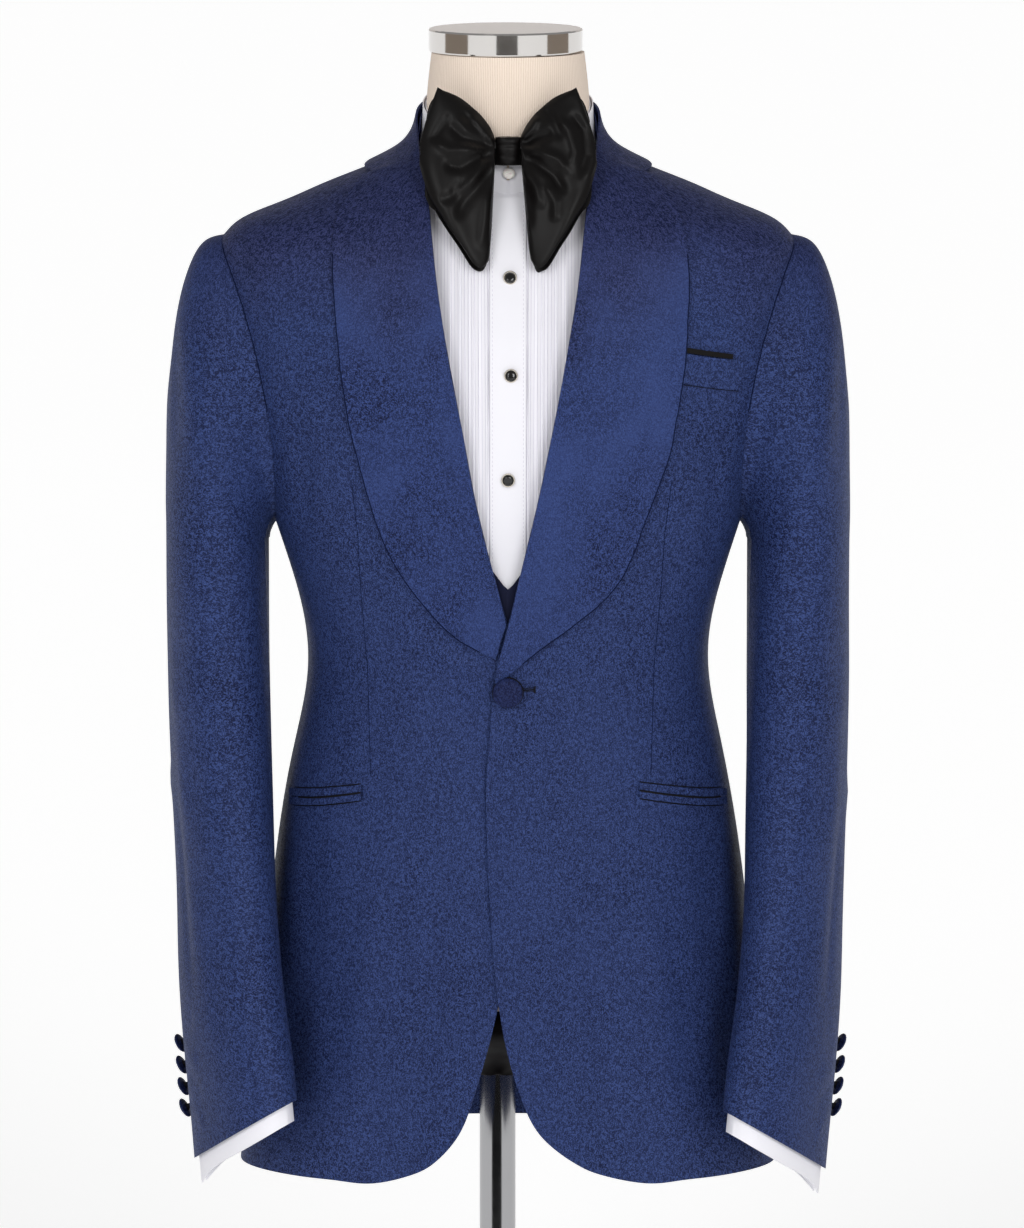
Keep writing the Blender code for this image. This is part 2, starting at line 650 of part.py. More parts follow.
def front_button(finish):
    x, height, radius = FRONT_BUTTON
    turn = turn_at(x, height)
    place = body_point(turn, height, 0.4)
    outward = body_point(turn, height, 5.0) - place
    dome("front_button", button_profile(radius, 4.4, 3.6, 3.0), finish, place, outward, 16)


def ring_row(height):
    """Row of the sleeve table at a height between its stations."""
    return [height] + [smooth_table(SLEEVE_RINGS[::-1], height, k) for k in range(1, 8)]


def sleeve_buttons(side, finish):
    """Four covered buttons on stems along the vent at the back of the sleeve."""
    sign = 1 if side == "left" else -1
    for i in range(4):
        goal = FIRST_BUTTON - i * BUTTON_PITCH
        height = goal
        for _ in range(8):          # the ring is tilted, so its row is looked for
            height += goal - sleeve_ring(side, ring_row(height), [BUTTON_ANGLE], 0.0)[0].z
        before, here, after = sleeve_ring(
            side, ring_row(height), [BUTTON_ANGLE - 6.0, BUTTON_ANGLE, BUTTON_ANGLE + 6.0], 0.0)
        outward = (after - before).cross(Vector((0, 0, 1))).normalized()
        outward = -outward if outward.x * sign < 0 else outward
        outward = (outward + Vector((0, 0, BUTTON_LEAN))).normalized()
        dome(f"sleeve_button_{side}_{i + 1}",
             button_profile(SLEEVE_BUTTON_RADIUS, 3.2, 4.6, 1.6), finish,
             here + 0.5 * outward, outward, 10)


def studs(onyx, pearl):
    lift = SHIRT_DEPTH + PLACKET_RISE
    for i, (x, height) in enumerate(STUDS):
        turn = turn_at(x, height)
        place = body_point(turn, height, lift + 0.35)
        outward = body_point(turn, height, lift + 5.0) - place
        dome(f"shirt_stud_{i + 1}", [(3.4, 0.0), (4.5, 0.7), (4.5, 1.5), (3.0, 2.5)], onyx,
             place, outward, 10)
    place = neck_front(0.7, 1016.0, 2.6)
    dome("pearl_button", [(3.6, 0.0), (4.4, 0.8), (4.1, 1.6), (2.0, 2.1)], pearl,
         place, Vector((0.0, -0.93, 0.37)), 10)


# ------------------------------------------------------------------- waistcoat
VEST_V = [(720.0, 0.3), (731.5, 9.4), (760.0, 27.0), (800.0, 45.0), (860.0, 62.0),
          (930.0, 77.0), (1000.0, 92.0)]
VEST_HEM, VEST_TOP, VEST_UNDERARM = 470.0, 1012.0, 738.0
VEST_SHOULDER, VEST_SPREAD = 1000.0, 36.0
VEST_ARM_ROWS = [745.0, 756.0]               # the quick turn under the arm
SIDE_GAP = 0.2                               # degrees from a side seam


def waistcoat(finish):
    """Two fronts that meet below the V, and a back in one piece."""
    heights = sorted([VEST_HEM, VEST_V[0][0], VEST_TOP] + VEST_ARM_ROWS + LAYER_ROWS[:-2])
    for side, sign in (("left", 1), ("right", -1)):
        rows = []
        for height in heights:
            inner_x = max(straight_table(VEST_V, height), VEST_V[0][1])
            outer = 90.0 - SIDE_GAP - armhole(height, VEST_UNDERARM, VEST_SHOULDER, VEST_SPREAD)
            inner = turn_at(inner_x, height)
            rows.append([(sign * turn, height, VEST_DEPTH) for turn in spread(inner, outer, 5)])
        body_sheet(f"waistcoat_front_{side}", rows, VEST_WALL, finish, flip=sign < 0)
    rows = []
    for height in heights:
        outer = 90.0 + SIDE_GAP + armhole(height, VEST_UNDERARM, VEST_SHOULDER, VEST_SPREAD)
        rows.append([(turn, height, VEST_DEPTH) for turn in spread(outer, 360.0 - outer, 10)])
    body_sheet("waistcoat_back", rows, VEST_WALL, finish)


# ----------------------------------------------------------------------- shirt
SHIRT_HEM, SHIRT_UNDERARM = 445.0, 772.0
SHIRT_NECK_FRONT, SHIRT_NECK_SIDE = 1006.0, 1029.0
SHIRT_ARM_ROWS = [781.0, 804.0]
SHIRT_ROWS = sorted([SHIRT_HEM] + SHIRT_ARM_ROWS + LAYER_ROWS)
PLACKET_ROWS = [873.0, 888.0, 935.0, 948.0]  # the bend of the chest under the studs


def neckline_drop(height):
    """How far a row's middle sinks towards the front of the neck."""
    return ease(height, 900.0, SHIRT_NECK_SIDE) * (SHIRT_NECK_SIDE - SHIRT_NECK_FRONT)


def pleat_lift(x):
    """Each pleat rises from its fold and slopes back to the next one."""
    place = (abs(x) - PLEAT_START) / PLEAT_PITCH
    if place < 0 or place > PLEATS:
        return 0.0
    return PLEAT_HEIGHT * (1.0 - (place % 1.0))


def shirt_fronts(finish):
    """Pleated fronts: folds are raised outside over a plain inside."""
    stops = [PLACKET_HALF - 4.0, PLEAT_START - 0.3]
    for i in range(PLEATS):
        stops += [PLEAT_START + i * PLEAT_PITCH, PLEAT_START + (i + 0.97) * PLEAT_PITCH]
    stops.append(PLEAT_START + PLEATS * PLEAT_PITCH)
    for side, sign in (("left", 1), ("right", -1)):
        outer_rows, inner_rows = [], []
        for height in SHIRT_ROWS:
            drop = neckline_drop(height)
            outside = 90.0 - SIDE_GAP - armhole(height, SHIRT_UNDERARM)
            outer_row, inner_row = [], []
            turns = []
            for x in stops:
                z = height - drop
                turns.append((turn_at(x, z), z, pleat_lift(x)))
            low_turn = turns[-1][0]
            for t in (0.33, 0.66, 1.0):
                z = height - drop * (1 - t)
                turns.append((low_turn + t * (outside - low_turn), z, 0.0))
            for turn, z, rise in turns:
                outer_row.append(body_point(sign * turn, z, SHIRT_DEPTH - PLEAT_HEIGHT + rise))
                inner_row.append(body_point(sign * turn, z,
                                            SHIRT_DEPTH - PLEAT_HEIGHT - SHIRT_WALL))
            outer_rows.append(outer_row)
            inner_rows.append(inner_row)
        two_face_wall(f"shirt_front_{side}", outer_rows, inner_rows, finish, flip=sign < 0)


def placket(finish):
    """Plain band down the middle that carries the studs."""
    rows = []
    for height in sorted(SHIRT_ROWS + PLACKET_ROWS):
        z = height - neckline_drop(height)
        rows.append([(turn_at(x, z), z, SHIRT_DEPTH + PLACKET_RISE)
                     for x in spread(-PLACKET_HALF, PLACKET_HALF, 2)])
    body_sheet("shirt_placket", rows, PLACKET_WALL, finish)


def shirt_back(finish):
    rows = []
    for height in SHIRT_ROWS:
        outer = 90.0 + SIDE_GAP + armhole(height, SHIRT_UNDERARM)
        rows.append([(turn, height, SHIRT_DEPTH - PLEAT_HEIGHT)
                     for turn in spread(outer, 360.0 - outer, 10)])
    body_sheet("shirt_back", rows, SHIRT_WALL, finish)


# turn from the front, foot of the shirt's stand, its top, edge of the leaf
NECK_RINGS = [
    (0.0, 1002.0, 1038.0, 1012.0),
    (30.0, 1008.0, 1041.0, 1014.0),
    (60.0, 1016.0, 1050.0, 1024.0),
    (90.0, 1021.0, 1062.0, 1033.0),
    (135.0, 1025.0, 1071.0, 1038.0),
    (180.0, 1026.0, 1073.0, 1040.0),
]


def neck_lift(turn, height, lift):
    """Point round the form's neck, so far outside it."""
    return body_point(turn, height, lift, FORM_SECTIONS)


def neck_front(x, height, lift):
    """The same at a distance x from the middle line."""
    half, power = (straight_table(FORM_SECTIONS, height, column) for column in (1, 4))
    turn = math.degrees(math.asin((abs(x) / half) ** (power / 2)))
    return neck_lift(math.copysign(turn, x), height, lift)


def ring_heights(turn):
    """Foot, top and leaf edge of the shirt's collar at this turn."""
    folded = abs((turn + 180.0) % 360.0 - 180.0)
    return [smooth_table(NECK_RINGS, folded, k) for k in (1, 2, 3)]


def shirt_collar(finish, band_finish):
    """Stand, tie band and turned-down leaf, one round the other."""
    def ring_rows(turns, spans):
        rows = []
        for share, lift in spans:
            row = []
            for turn in turns:
                foot, top, _ = ring_heights(turn)
                row.append((turn, foot + share * (top - foot), lift))
            rows.append(row)
        return rows

    turns = [0.5] + spread(15.0, 345.0, 22) + [359.5]
    body_sheet("shirt_collar_stand", ring_rows(turns, [(0.0, 1.5), (0.15, 1.4), (0.4, 1.3),
                                                       (0.75, 1.2), (1.0, 1.1)]),
               0.7, finish, sections=FORM_SECTIONS)
    band_turns = [4.0] + spread(15.0, 345.0, 22) + [356.0]
    body_sheet("bow_tie_band", ring_rows(band_turns, [(0.4, 2.9), (0.75, 2.5)]), 0.5,
               band_finish, sections=FORM_SECTIONS)
    rows = []
    for share, lift in ((0.0, 5.0), (0.5, 4.5), (1.0, 3.0)):
        row = []
        for turn in spread(30.0, 330.0, 20):
            _, top, tip = ring_heights(turn)
            row.append((turn, tip + share * (top + 1.0 - tip), lift))
        rows.append(row)
    body_sheet("shirt_collar_leaf", rows, 0.7, finish, sections=FORM_SECTIONS)


# --------------------------------------------------------------------- bow tie
# wing stations from the knot outwards: x, top height, bottom height, middle y,
# half thickness
BOW_STATIONS = [
    (9.6, 1043.5, 1019.0, -67.0, 3.6),
    (11.4, 1048.0, 985.0, -68.0, 5.0),
    (14.0, 1052.5, 958.0, -69.0, 5.6),
    (19.0, 1059.0, 953.5, -71.0, 6.0),
    (25.0, 1064.5, 957.0, -73.0, 6.4),
    (33.0, 1071.0, 969.0, -75.5, 6.6),
    (42.0, 1075.5, 981.5, -77.5, 6.2),
    (50.5, 1078.5, 994.5, -78.0, 5.2),
    (57.5, 1060.5, 1007.0, -77.0, 4.0),
    (62.8, 1042.0, 1023.0, -76.0, 1.8),
]
KNOT_Y = -60.6
BOW_LEAN = 0.40              # forward for each millimetre that the wing hangs
BOW_SKEW = {"right": 0.0, "left": 0.035}     # the left wing hangs farther out
REAR_GAP = 0.7               # clear space between a wing and its rear loop


def bow_wing(side, finish):
    """Soft folded wing, fullest between its ribs."""
    sign = 1 if side == "left" else -1
    rows = []
    for x, top, bottom, middle_y, half in BOW_STATIONS:
        ring = []
        for i in range(16):
            angle = math.tau * i / 16
            z = (top + bottom) / 2 + (top - bottom) / 2 * math.cos(angle)
            fold = 1.0 + 0.22 * math.cos(3 * angle + x / 9.0)
            y = middle_y - BOW_LEAN * (1035.0 - z)
            out = x + BOW_SKEW[side] * (1035.0 - z)
            ring.append((sign * out, y - half * fold * math.sin(angle), z))
        rows.append(ring)
    mesh = grid_mesh(f"bow_wing_{side}", rows, closed=True, flip=sign < 0, caps=True)
    add_object(f"bow_wing_{side}", mesh, finish)


def bow_back(side, finish):
    """Rear loop of the bow, seen as a second edge behind the wing."""
    sign = 1 if side == "left" else -1
    rows = []
    for x, top, bottom, middle_y, half in BOW_STATIONS[1:-1]:
        low, high = bottom - 4.0 + x * 0.05, top - 6.0
        row = []
        for z in spread(low, high, 4):
            y = middle_y - BOW_LEAN * (1035.0 - z) + half * 1.22 + REAR_GAP
            row.append((sign * (x + 1.5 + BOW_SKEW[side] * (1035.0 - z)), y, z))
        rows.append(row)
    shell(f"bow_rear_{side}", rows, 1.2, finish, flip=sign > 0)


def bow_knot(finish):
    """Cross-over band pinched round the middle of the bow."""
    rows = []
    for height, half_x, half_y in ((1023.5, 8.4, 5.0), (1026.0, 9.3, 6.6), (1033.5, 9.1, 7.0),
                                   (1041.0, 9.3, 6.4), (1043.5, 8.6, 4.8)):
        rows.append([(half_x * math.cos(math.tau * i / 16),
                      KNOT_Y + half_y * math.sin(math.tau * i / 16), height)
                     for i in range(16)])
    add_object("bow_knot", grid_mesh("bow_knot", rows, closed=True, caps=True), finish)


# ----------------------------------------------------------------------- stand
def dress_form(jersey, dark, chrome, steel):
    steps = 24
    rows = [[neck_lift(360.0 * i / steps, row[0], 0.0) for i in range(steps)]
            for row in FORM_SECTIONS]
    add_object("form_torso", grid_mesh("form_torso", rows, closed=True, caps=True), jersey)
    rows = []
    for height, share in ((351.0, 0.0), (360.0, 0.14), (378.0, 0.55), (396.0, 0.93),
                          (412.6, 1.0)):
        ring = []
        for i in range(steps):
            wide = neck_lift(360.0 * i / steps, 413.0, 0.0)
            centre = Vector((POLE_X * (1 - share), 0.0, 0.0))
            angle = math.tau * i / steps
            narrow = Vector((21.0 * math.sin(angle), -21.0 * math.cos(angle), 0.0)) + centre
            point = narrow.lerp(Vector((wide.x, wide.y, 0.0)), share)
            ring.append((point.x, point.y, height))
        rows.append(ring)
    add_object("form_base_cap", grid_mesh("form_base_cap", rows, closed=True, caps=True), dark)
    turned("form_neck_cap",
           [(CAP_RADIUS, CAP_BOTTOM), (CAP_RADIUS, CAP_TOP - 2.0),
            (CAP_RADIUS - 0.7, CAP_TOP - 0.6), (CAP_RADIUS - 2.4, CAP_TOP)],
           chrome, 32, (CAP_X, 0.5, 0.0))
    turned("stand_pole", [(POLE_RADIUS, BASE_HEIGHT + 7.3), (POLE_RADIUS, POLE_TOP)],
           chrome, 32, (POLE_X, 0.0, 0.0))
    turned("stand_base",
           [(BASE_RADIUS, 0.0), (BASE_RADIUS, BASE_HEIGHT - 3.0),
            (BASE_RADIUS - 3.0, BASE_HEIGHT), (27.0, BASE_HEIGHT + 2.0),
            (24.0, BASE_HEIGHT + 7.0)], steel, 40, (POLE_X, 0.0, 0.0))


# ------------------------------------------------------------------------ build
def clear_scene():
    for old in list(bpy.data.objects):
        bpy.data.objects.remove(old, do_unlink=True)
    group = bpy.data.collections.new(COLLECTION)
    bpy.context.scene.collection.children.link(group)


def main():
    clear_scene()
    jacket = material("blue_jacquard", (0.022, 0.040, 0.135), 0.55)
    inside = material("navy_lining_cloth", (0.006, 0.009, 0.030), 0.6)
    white = material("white_cotton", (0.86, 0.86, 0.90), 0.7)
    satin = material("black_satin", (0.010, 0.009, 0.009), 0.35)
    thread = material("covered_button", (0.018, 0.030, 0.105), 0.5)
    onyx = material("onyx", (0.006, 0.006, 0.007), 0.12)
    pearl = material("mother_of_pearl", (0.80, 0.78, 0.76), 0.2)
    jersey = material("beige_jersey", (0.78, 0.68, 0.53), 0.8)
    dark = material("black_moulding", (0.01, 0.01, 0.012), 0.3)
    chrome = material("chrome", (0.75, 0.75, 0.76), 0.08, 1.0)
    steel = material("brushed_steel", (0.62, 0.62, 0.63), 0.3, 1.0)

    dress_form(jersey, dark, chrome, steel)
    for side in ("left", "right"):
        jacket_front(side, jacket)
        jacket_back(side, jacket)
        shawl(side, jacket)
        sleeve(side, jacket)
        shirt_sleeve(side, white)
        shirt_cuff(side, white)
        sleeve_buttons(side, thread)
        bow_wing(side, satin)
        bow_back(side, satin)
    collar_stand(jacket)
    pockets(jacket, satin)
    front_button(thread)
    waistcoat(inside)
    shirt_fronts(white)
    placket(white)
    shirt_back(white)
    shirt_collar(white, satin)
    studs(onyx, pearl)
    bow_knot(satin)


main()
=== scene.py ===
import logging
import math
from dataclasses import dataclass, field
from enum import Enum

import bmesh
import bpy
import numpy as np
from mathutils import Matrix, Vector, noise
from mathutils.bvhtree import BVHTree


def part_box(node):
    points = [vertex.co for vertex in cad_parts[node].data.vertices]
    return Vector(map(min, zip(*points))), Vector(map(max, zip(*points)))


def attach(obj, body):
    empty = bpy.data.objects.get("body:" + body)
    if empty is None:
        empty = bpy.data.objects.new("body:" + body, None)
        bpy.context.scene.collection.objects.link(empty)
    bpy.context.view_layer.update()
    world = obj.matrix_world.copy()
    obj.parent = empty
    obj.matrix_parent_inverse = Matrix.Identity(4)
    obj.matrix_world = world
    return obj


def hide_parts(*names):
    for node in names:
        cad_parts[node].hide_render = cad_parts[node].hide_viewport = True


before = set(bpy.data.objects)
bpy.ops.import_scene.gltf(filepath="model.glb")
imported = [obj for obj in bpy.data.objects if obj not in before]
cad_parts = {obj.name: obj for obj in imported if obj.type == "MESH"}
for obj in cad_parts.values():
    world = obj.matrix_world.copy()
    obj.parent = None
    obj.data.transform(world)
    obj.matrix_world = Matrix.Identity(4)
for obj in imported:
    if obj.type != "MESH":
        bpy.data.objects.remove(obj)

log = logging.getLogger("tuxedo")
logging.basicConfig(level=logging.INFO, format="%(name)s: %(message)s")
MM = 0.001
FLAT_RADIUS = 57.3           # round this radius in millimetres a degree is a millimetre
FAR_FRONT = -0.6             # y in metres from which rays are sent to the front of the form
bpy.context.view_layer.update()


class Side(Enum):
    """Wearer's side of a piece; the left one lies at +X."""

    LEFT = "left"
    RIGHT = "right"

    @property
    def sign(self) -> int:
        """1 on the wearer's left and -1 on the right."""
        return 1 if self is Side.LEFT else -1


# ------------------------------------------------------------------ materials
def linear(hex_colour: str) -> tuple[float, float, float, float]:
    """Turns an sRGB hex colour into linear light.

    Args:
        hex_colour: Six hex digits.

    Returns:
        Red, green, blue and an alpha of one.
    """
    parts = [int(hex_colour[i:i + 2], 16) / 255 for i in (0, 2, 4)]
    return (*[c / 12.92 if c <= 0.04045 else ((c + 0.055) / 1.055) ** 2.4 for c in parts], 1.0)


def add_node(tree: bpy.types.NodeTree, kind: str, settings: dict | None = None,
             links: dict | None = None) -> bpy.types.Node:
    """Adds a shader node with its settings and links.

    Args:
        tree: Node tree of the material.
        kind: Type of the node.
        settings: Socket names or numbers with values, attribute names with values, and
            for a colour ramp "stops" with places and sRGB hex colours.
        links: Input sockets with the output sockets that feed them.

    Returns:
        The new node.
    """
    node = tree.nodes.new(kind)
    for key, value in (settings or {}).items():
        if key == "stops":
            elements = node.color_ramp.elements
            while len(elements) < len(value):
                elements.new(0.5)
            for element, (place, colour) in zip(elements, value):
                element.position, element.color = place, linear(colour)
        elif isinstance(key, int) or key in node.inputs:
            node.inputs[key].default_value = value
        else:
            setattr(node, key, value)
    for key, source in (links or {}).items():
        tree.links.new(source, node.inputs[key])
    return node


@dataclass(frozen=True)
class Finish:
    """A finish with the sockets that are the same all over.

    Sizes are in metres, colours are sRGB hex values.
    """

    name: str
    slot: str
    colour: str
    roughness: float
    metallic: float = 0.0
    sheen: float = 0.0
    sheen_roughness: float = 0.4
    sheen_colour: str = "ffffff"
    coat: float = 0.0
    coat_roughness: float = 0.05
    specular: float = 0.5
    handling: float = 45.0       # clouds in a metre where hands and cloths dulled it

    def start(self) -> tuple[bpy.types.Material, bpy.types.NodeTree, bpy.types.Node]:
        """Makes the material with its constant sockets.

        Returns:
            The material, its node tree and its shader.
        """
        made = bpy.data.materials.new(self.name)
        made.use_nodes = True
        shader = made.node_tree.nodes["Principled BSDF"]
        values = {"Base Color": linear(self.colour), "Roughness": self.roughness,
                  "Metallic": self.metallic, "Sheen Weight": self.sheen,
                  "Sheen Roughness": self.sheen_roughness,
                  "Sheen Tint": linear(self.sheen_colour), "Coat Weight": self.coat,
                  "Coat Roughness": self.coat_roughness,
                  "Specular IOR Level": self.specular}
        for socket, value in values.items():
            shader.inputs[socket].default_value = value
        return made, made.node_tree, shader

    def build(self) -> bpy.types.Material:
        """Makes the material and draws its pattern."""
        made, tree, shader = self.start()
        self.pattern(tree, shader)
        return made

    def pattern(self, tree: bpy.types.NodeTree, shader: bpy.types.Node) -> None:
        """Clouds the gloss a little, as on any handled surface.

        Args:
            tree: Node tree of the material.
            shader: Its shader.
        """
        place = add_node(tree, "ShaderNodeTexCoord").outputs["Object"]
        grain = add_node(tree, "ShaderNodeTexNoise", {"Scale": self.handling, "Detail": 4.0},
                         {"Vector": place}).outputs["Fac"]
        rough = add_node(tree, "ShaderNodeMapRange",
                         {1: 0.3, 2: 0.7, 3: self.roughness * 0.85,
                          4: min(self.roughness * 1.2, 1.0)}, {0: grain})
        tree.links.new(rough.outputs[0], shader.inputs["Roughness"])


def cloth_place(tree: bpy.types.NodeTree, scale: tuple[float, float, float] = (1, 1, 1),
                turn: float = 0.0) -> bpy.types.NodeSocket:
    """Place on the cloth in metres along and across it.

    Args:
        tree: Node tree of the material.
        scale: Scale of the place along each axis.
        turn: Turn of the pattern in degrees.

    Returns:
        The vector socket.
    """
    uv = add_node(tree, "ShaderNodeTexCoord").outputs["UV"]
    return add_node(tree, "ShaderNodeMapping",
                    {"Scale": scale, "Rotation": (0, 0, math.radians(turn))},
                    {"Vector": uv}).outputs["Vector"]


def weave_bump(tree: bpy.types.NodeTree, shader: bpy.types.Node, pitch: float, turn: float,
               strength: float, relief: bpy.types.NodeSocket | None = None) -> None:
    """Raises the fine ribs of a weave, over the relief of a pattern.

    Args:
        tree: Node tree of the material.
        shader: Shader that takes the bump.
        pitch: Distance between two ribs in metres.
        turn: Turn of the ribs in degrees.
        strength: Strength of the bump.
        relief: Height of the pattern under the weave, if there is one.
    """
    place = cloth_place(tree, turn=turn)
    # a wave node's bands are a twentieth of its unit apart
    ribs = add_node(tree, "ShaderNodeTexWave",
                    {"Scale": 0.05 * math.tau / pitch, "Distortion": 0.6,
                     "Detail": 1.0, "Detail Scale": 2.0}, {"Vector": place}).outputs["Fac"]
    bump = add_node(tree, "ShaderNodeBump", {"Strength": strength, "Distance": 0.0003},
                    {"Height": ribs})
    if relief is not None:
        bump = add_node(tree, "ShaderNodeBump", {"Strength": 0.5, "Distance": 0.00025},
                        {"Height": relief, "Normal": bump.outputs[0]})
    tree.links.new(bump.outputs[0], shader.inputs["Normal"])


@dataclass(frozen=True)
class BlueJacquard(Finish):
    """Wool and silk jacquard: dark leaf scraps sunk in a lighter satin ground.

    The satin ground catches the light, so it is glossier than the scraps, and
    their contrast swells and fades over a hand's width. Round the shoulders' height
    the ground is painted greyer and darker and the scraps show in full: painted
    shade and sheen where the light falls on the shoulders. Yarns and twill are drawn
    two to three times as coarse as real ones of 0.4 mm, which wouldn't show.
    """

    motif: str = "141c3d"
    leaf: float = 0.0019         # width of a leaf scrap
    edges: tuple[float, float] = (0.46, 0.525)    # noise between ground and scrap
    lean: float = 14.0           # turn of the scraps on the cloth, in degrees
    drift: float = 0.11          # size of the regions of more or less contrast
    least: float = 0.8           # share of the contrast in the quietest regions
    shoulder_shade_heights: tuple[float, float] = (0.885, 0.985)   # heights round the shoulders that get the painted shade and sheen
    shoulder_shade_waver: float = 0.16          # how far that height wavers
    shoulder_shade_colour: str = "353c67"  # painted shade and sheen: the greyer, darker ground at the shoulders
    yarn: float = 0.0013
    twill: float = 0.0009

    def pattern(self, tree: bpy.types.NodeTree, shader: bpy.types.Node) -> None:
        """Draws the scraps, the ground with its painted shade and sheen at the shoulders, and the
        twill.

        Args:
            tree: Node tree of the material.
            shader: Its shader.
        """
        place = cloth_place(tree, (1.25, 1.0, 1.0), self.lean)
        curl = add_node(tree, "ShaderNodeTexNoise",
                        {"Scale": 1.0 / self.leaf, "Detail": 2.0, "Roughness": 0.6,
                         "Distortion": 1.6}, {"Vector": place}).outputs["Fac"]
        region = add_node(tree, "ShaderNodeTexNoise",
                          {"Scale": 1.0 / self.drift, "Detail": 3.0, "Roughness": 0.6},
                          {"Vector": place}).outputs["Fac"]
        # painted shade and sheen: near the shoulders' height, wavered by the region noise, the
        # ground takes the shoulder colour and the scraps show at full contrast
        spot = add_node(tree, "ShaderNodeTexCoord").outputs["Object"]
        height = add_node(tree, "ShaderNodeSeparateXYZ", {}, {0: spot}).outputs[2]
        wavy = add_node(tree, "ShaderNodeMath", {"operation": "MULTIPLY_ADD", 1: self.shoulder_shade_waver},
                        {0: region, 2: height}).outputs[0]
        high = add_node(tree, "ShaderNodeMapRange",
                        {1: self.shoulder_shade_heights[0] + self.shoulder_shade_waver / 2, 2: self.shoulder_shade_heights[1] + self.shoulder_shade_waver / 2,
                         3: 0.0, 4: 1.0}, {0: wavy}).outputs[0]
        mask = add_node(tree, "ShaderNodeMapRange",
                        {1: self.edges[0], 2: self.edges[1], 3: 0.0, 4: 1.0},
                        {0: curl}).outputs[0]
        quiet = add_node(tree, "ShaderNodeMapRange",
                         {1: 0.36, 2: 0.62, 3: self.least, 4: 1.0}, {0: region}).outputs[0]
        share = add_node(tree, "ShaderNodeMath", {"operation": "MAXIMUM"},
                         {0: quiet, 1: high}).outputs[0]
        shown = add_node(tree, "ShaderNodeMath", {"operation": "MULTIPLY"},
                         {0: mask, 1: share}).outputs[0]
        yarn = add_node(tree, "ShaderNodeTexNoise", {"Scale": 1.0 / self.yarn, "Detail": 2.0},
                        {"Vector": place}).outputs["Fac"]
        ground = add_node(tree, "ShaderNodeMix",
                          {"data_type": "RGBA", 6: linear(self.colour),
                           7: linear(self.shoulder_shade_colour)}, {0: high})
        mixed = add_node(tree, "ShaderNodeMix", {"data_type": "RGBA", 7: linear(self.motif)},
                         {0: shown, 6: ground.outputs[2]})
        shade = add_node(tree, "ShaderNodeMapRange", {1: 0.3, 2: 0.7, 3: 0.72, 4: 1.28},
                         {0: yarn}).outputs[0]
        toned = add_node(tree, "ShaderNodeVectorMath", {"operation": "SCALE"},
                         {0: mixed.outputs[2], 3: shade}).outputs[0]
        tree.links.new(toned, shader.inputs["Base Color"])
        rough = add_node(tree, "ShaderNodeMapRange",
                         {1: 0.0, 2: 1.0, 3: self.roughness * 0.85, 4: self.roughness * 1.1},
                         {0: shown}).outputs[0]
        tree.links.new(rough, shader.inputs["Roughness"])
        weave_bump(tree, shader, self.twill, 52.0, 0.12, mask)


@dataclass(frozen=True)
class WovenCloth(Finish):
    """Plain or twilled cloth in one colour, a little uneven from yarn to yarn."""

    pitch: float = 0.0008        # of its ribs, about twice the real one, which wouldn't show
    turn: float = 45.0           # of its ribs on the cloth, in degrees
    relief: float = 0.1
    uneven: float = 0.06         # how much lighter or darker a yarn may be

    def pattern(self, tree: bpy.types.NodeTree, shader: bpy.types.Node) -> None:
        """Draws the yarns' shades and the weave.

        Args:
            tree: Node tree of the material.
            shader: Its shader.
        """
        place = cloth_place(tree, (1.0, 6.0, 1.0), self.turn)
        yarn = add_node(tree, "ShaderNodeTexNoise",
                        {"Scale": 1 / (2.5 * self.pitch), "Detail": 3.0},
                        {"Vector": place}).outputs["Fac"]
        shade = add_node(tree, "ShaderNodeMapRange",
                         {1: 0.3, 2: 0.7, 3: 1 - self.uneven, 4: 1 + self.uneven},
                         {0: yarn}).outputs[0]
        base = add_node(tree, "ShaderNodeRGB")
        base.outputs[0].default_value = linear(self.colour)
        toned = add_node(tree, "ShaderNodeVectorMath", {"operation": "SCALE"},
                         {0: base.outputs[0], 3: shade}).outputs[0]
        tree.links.new(toned, shader.inputs["Base Color"])
        weave_bump(tree, shader, self.pitch, self.turn, self.relief)


@dataclass(frozen=True)
class RibbedJersey(Finish):
    """Cotton jersey pulled over the form: fine upright ribs, with painted shade darkening the
    gaps between them.
    """

    rib: float = 0.0019
    loops: float = 900.0         # stitch loops in a metre
    gap_shade_colour: str = "dcc7b2"

    def pattern(self, tree: bpy.types.NodeTree, shader: bpy.types.Node) -> None:
        """Draws the ribs along the form, with painted shade in their gaps.

        Args:
            tree: Node tree of the material.
            shader: Its shader.
        """
        place = cloth_place(tree)
        across = add_node(tree, "ShaderNodeSeparateXYZ", {}, {0: place}).outputs[0]
        wave = add_node(tree, "ShaderNodeMath",
                        {"operation": "MULTIPLY", 1: math.tau / self.rib},
                        {0: across}).outputs[0]
        rib = add_node(tree, "ShaderNodeMath", {"operation": "COSINE"}, {0: wave}).outputs[0]
        stitch = add_node(tree, "ShaderNodeTexNoise", {"Scale": self.loops, "Detail": 2.0},
                          {"Vector": place}).outputs["Fac"]
        height = add_node(tree, "ShaderNodeMath", {"operation": "MULTIPLY_ADD", 1: 0.8},
                          {0: stitch, 2: rib}).outputs[0]
        level = add_node(tree, "ShaderNodeMapRange", {1: -1.0, 2: 1.6, 3: 0.0, 4: 1.0},
                         {0: height}).outputs[0]
        # painted shade: the lower the knit, the nearer its colour comes to the gap shade
        shade = add_node(tree, "ShaderNodeValToRGB",
                         {"stops": ((0.05, self.gap_shade_colour), (0.45, self.colour))}, {0: level})
        tree.links.new(shade.outputs[0], shader.inputs["Base Color"])
        bump = add_node(tree, "ShaderNodeBump", {"Strength": 0.4, "Distance": 0.0006},
                        {"Height": level})
        tree.links.new(bump.outputs[0], shader.inputs["Normal"])


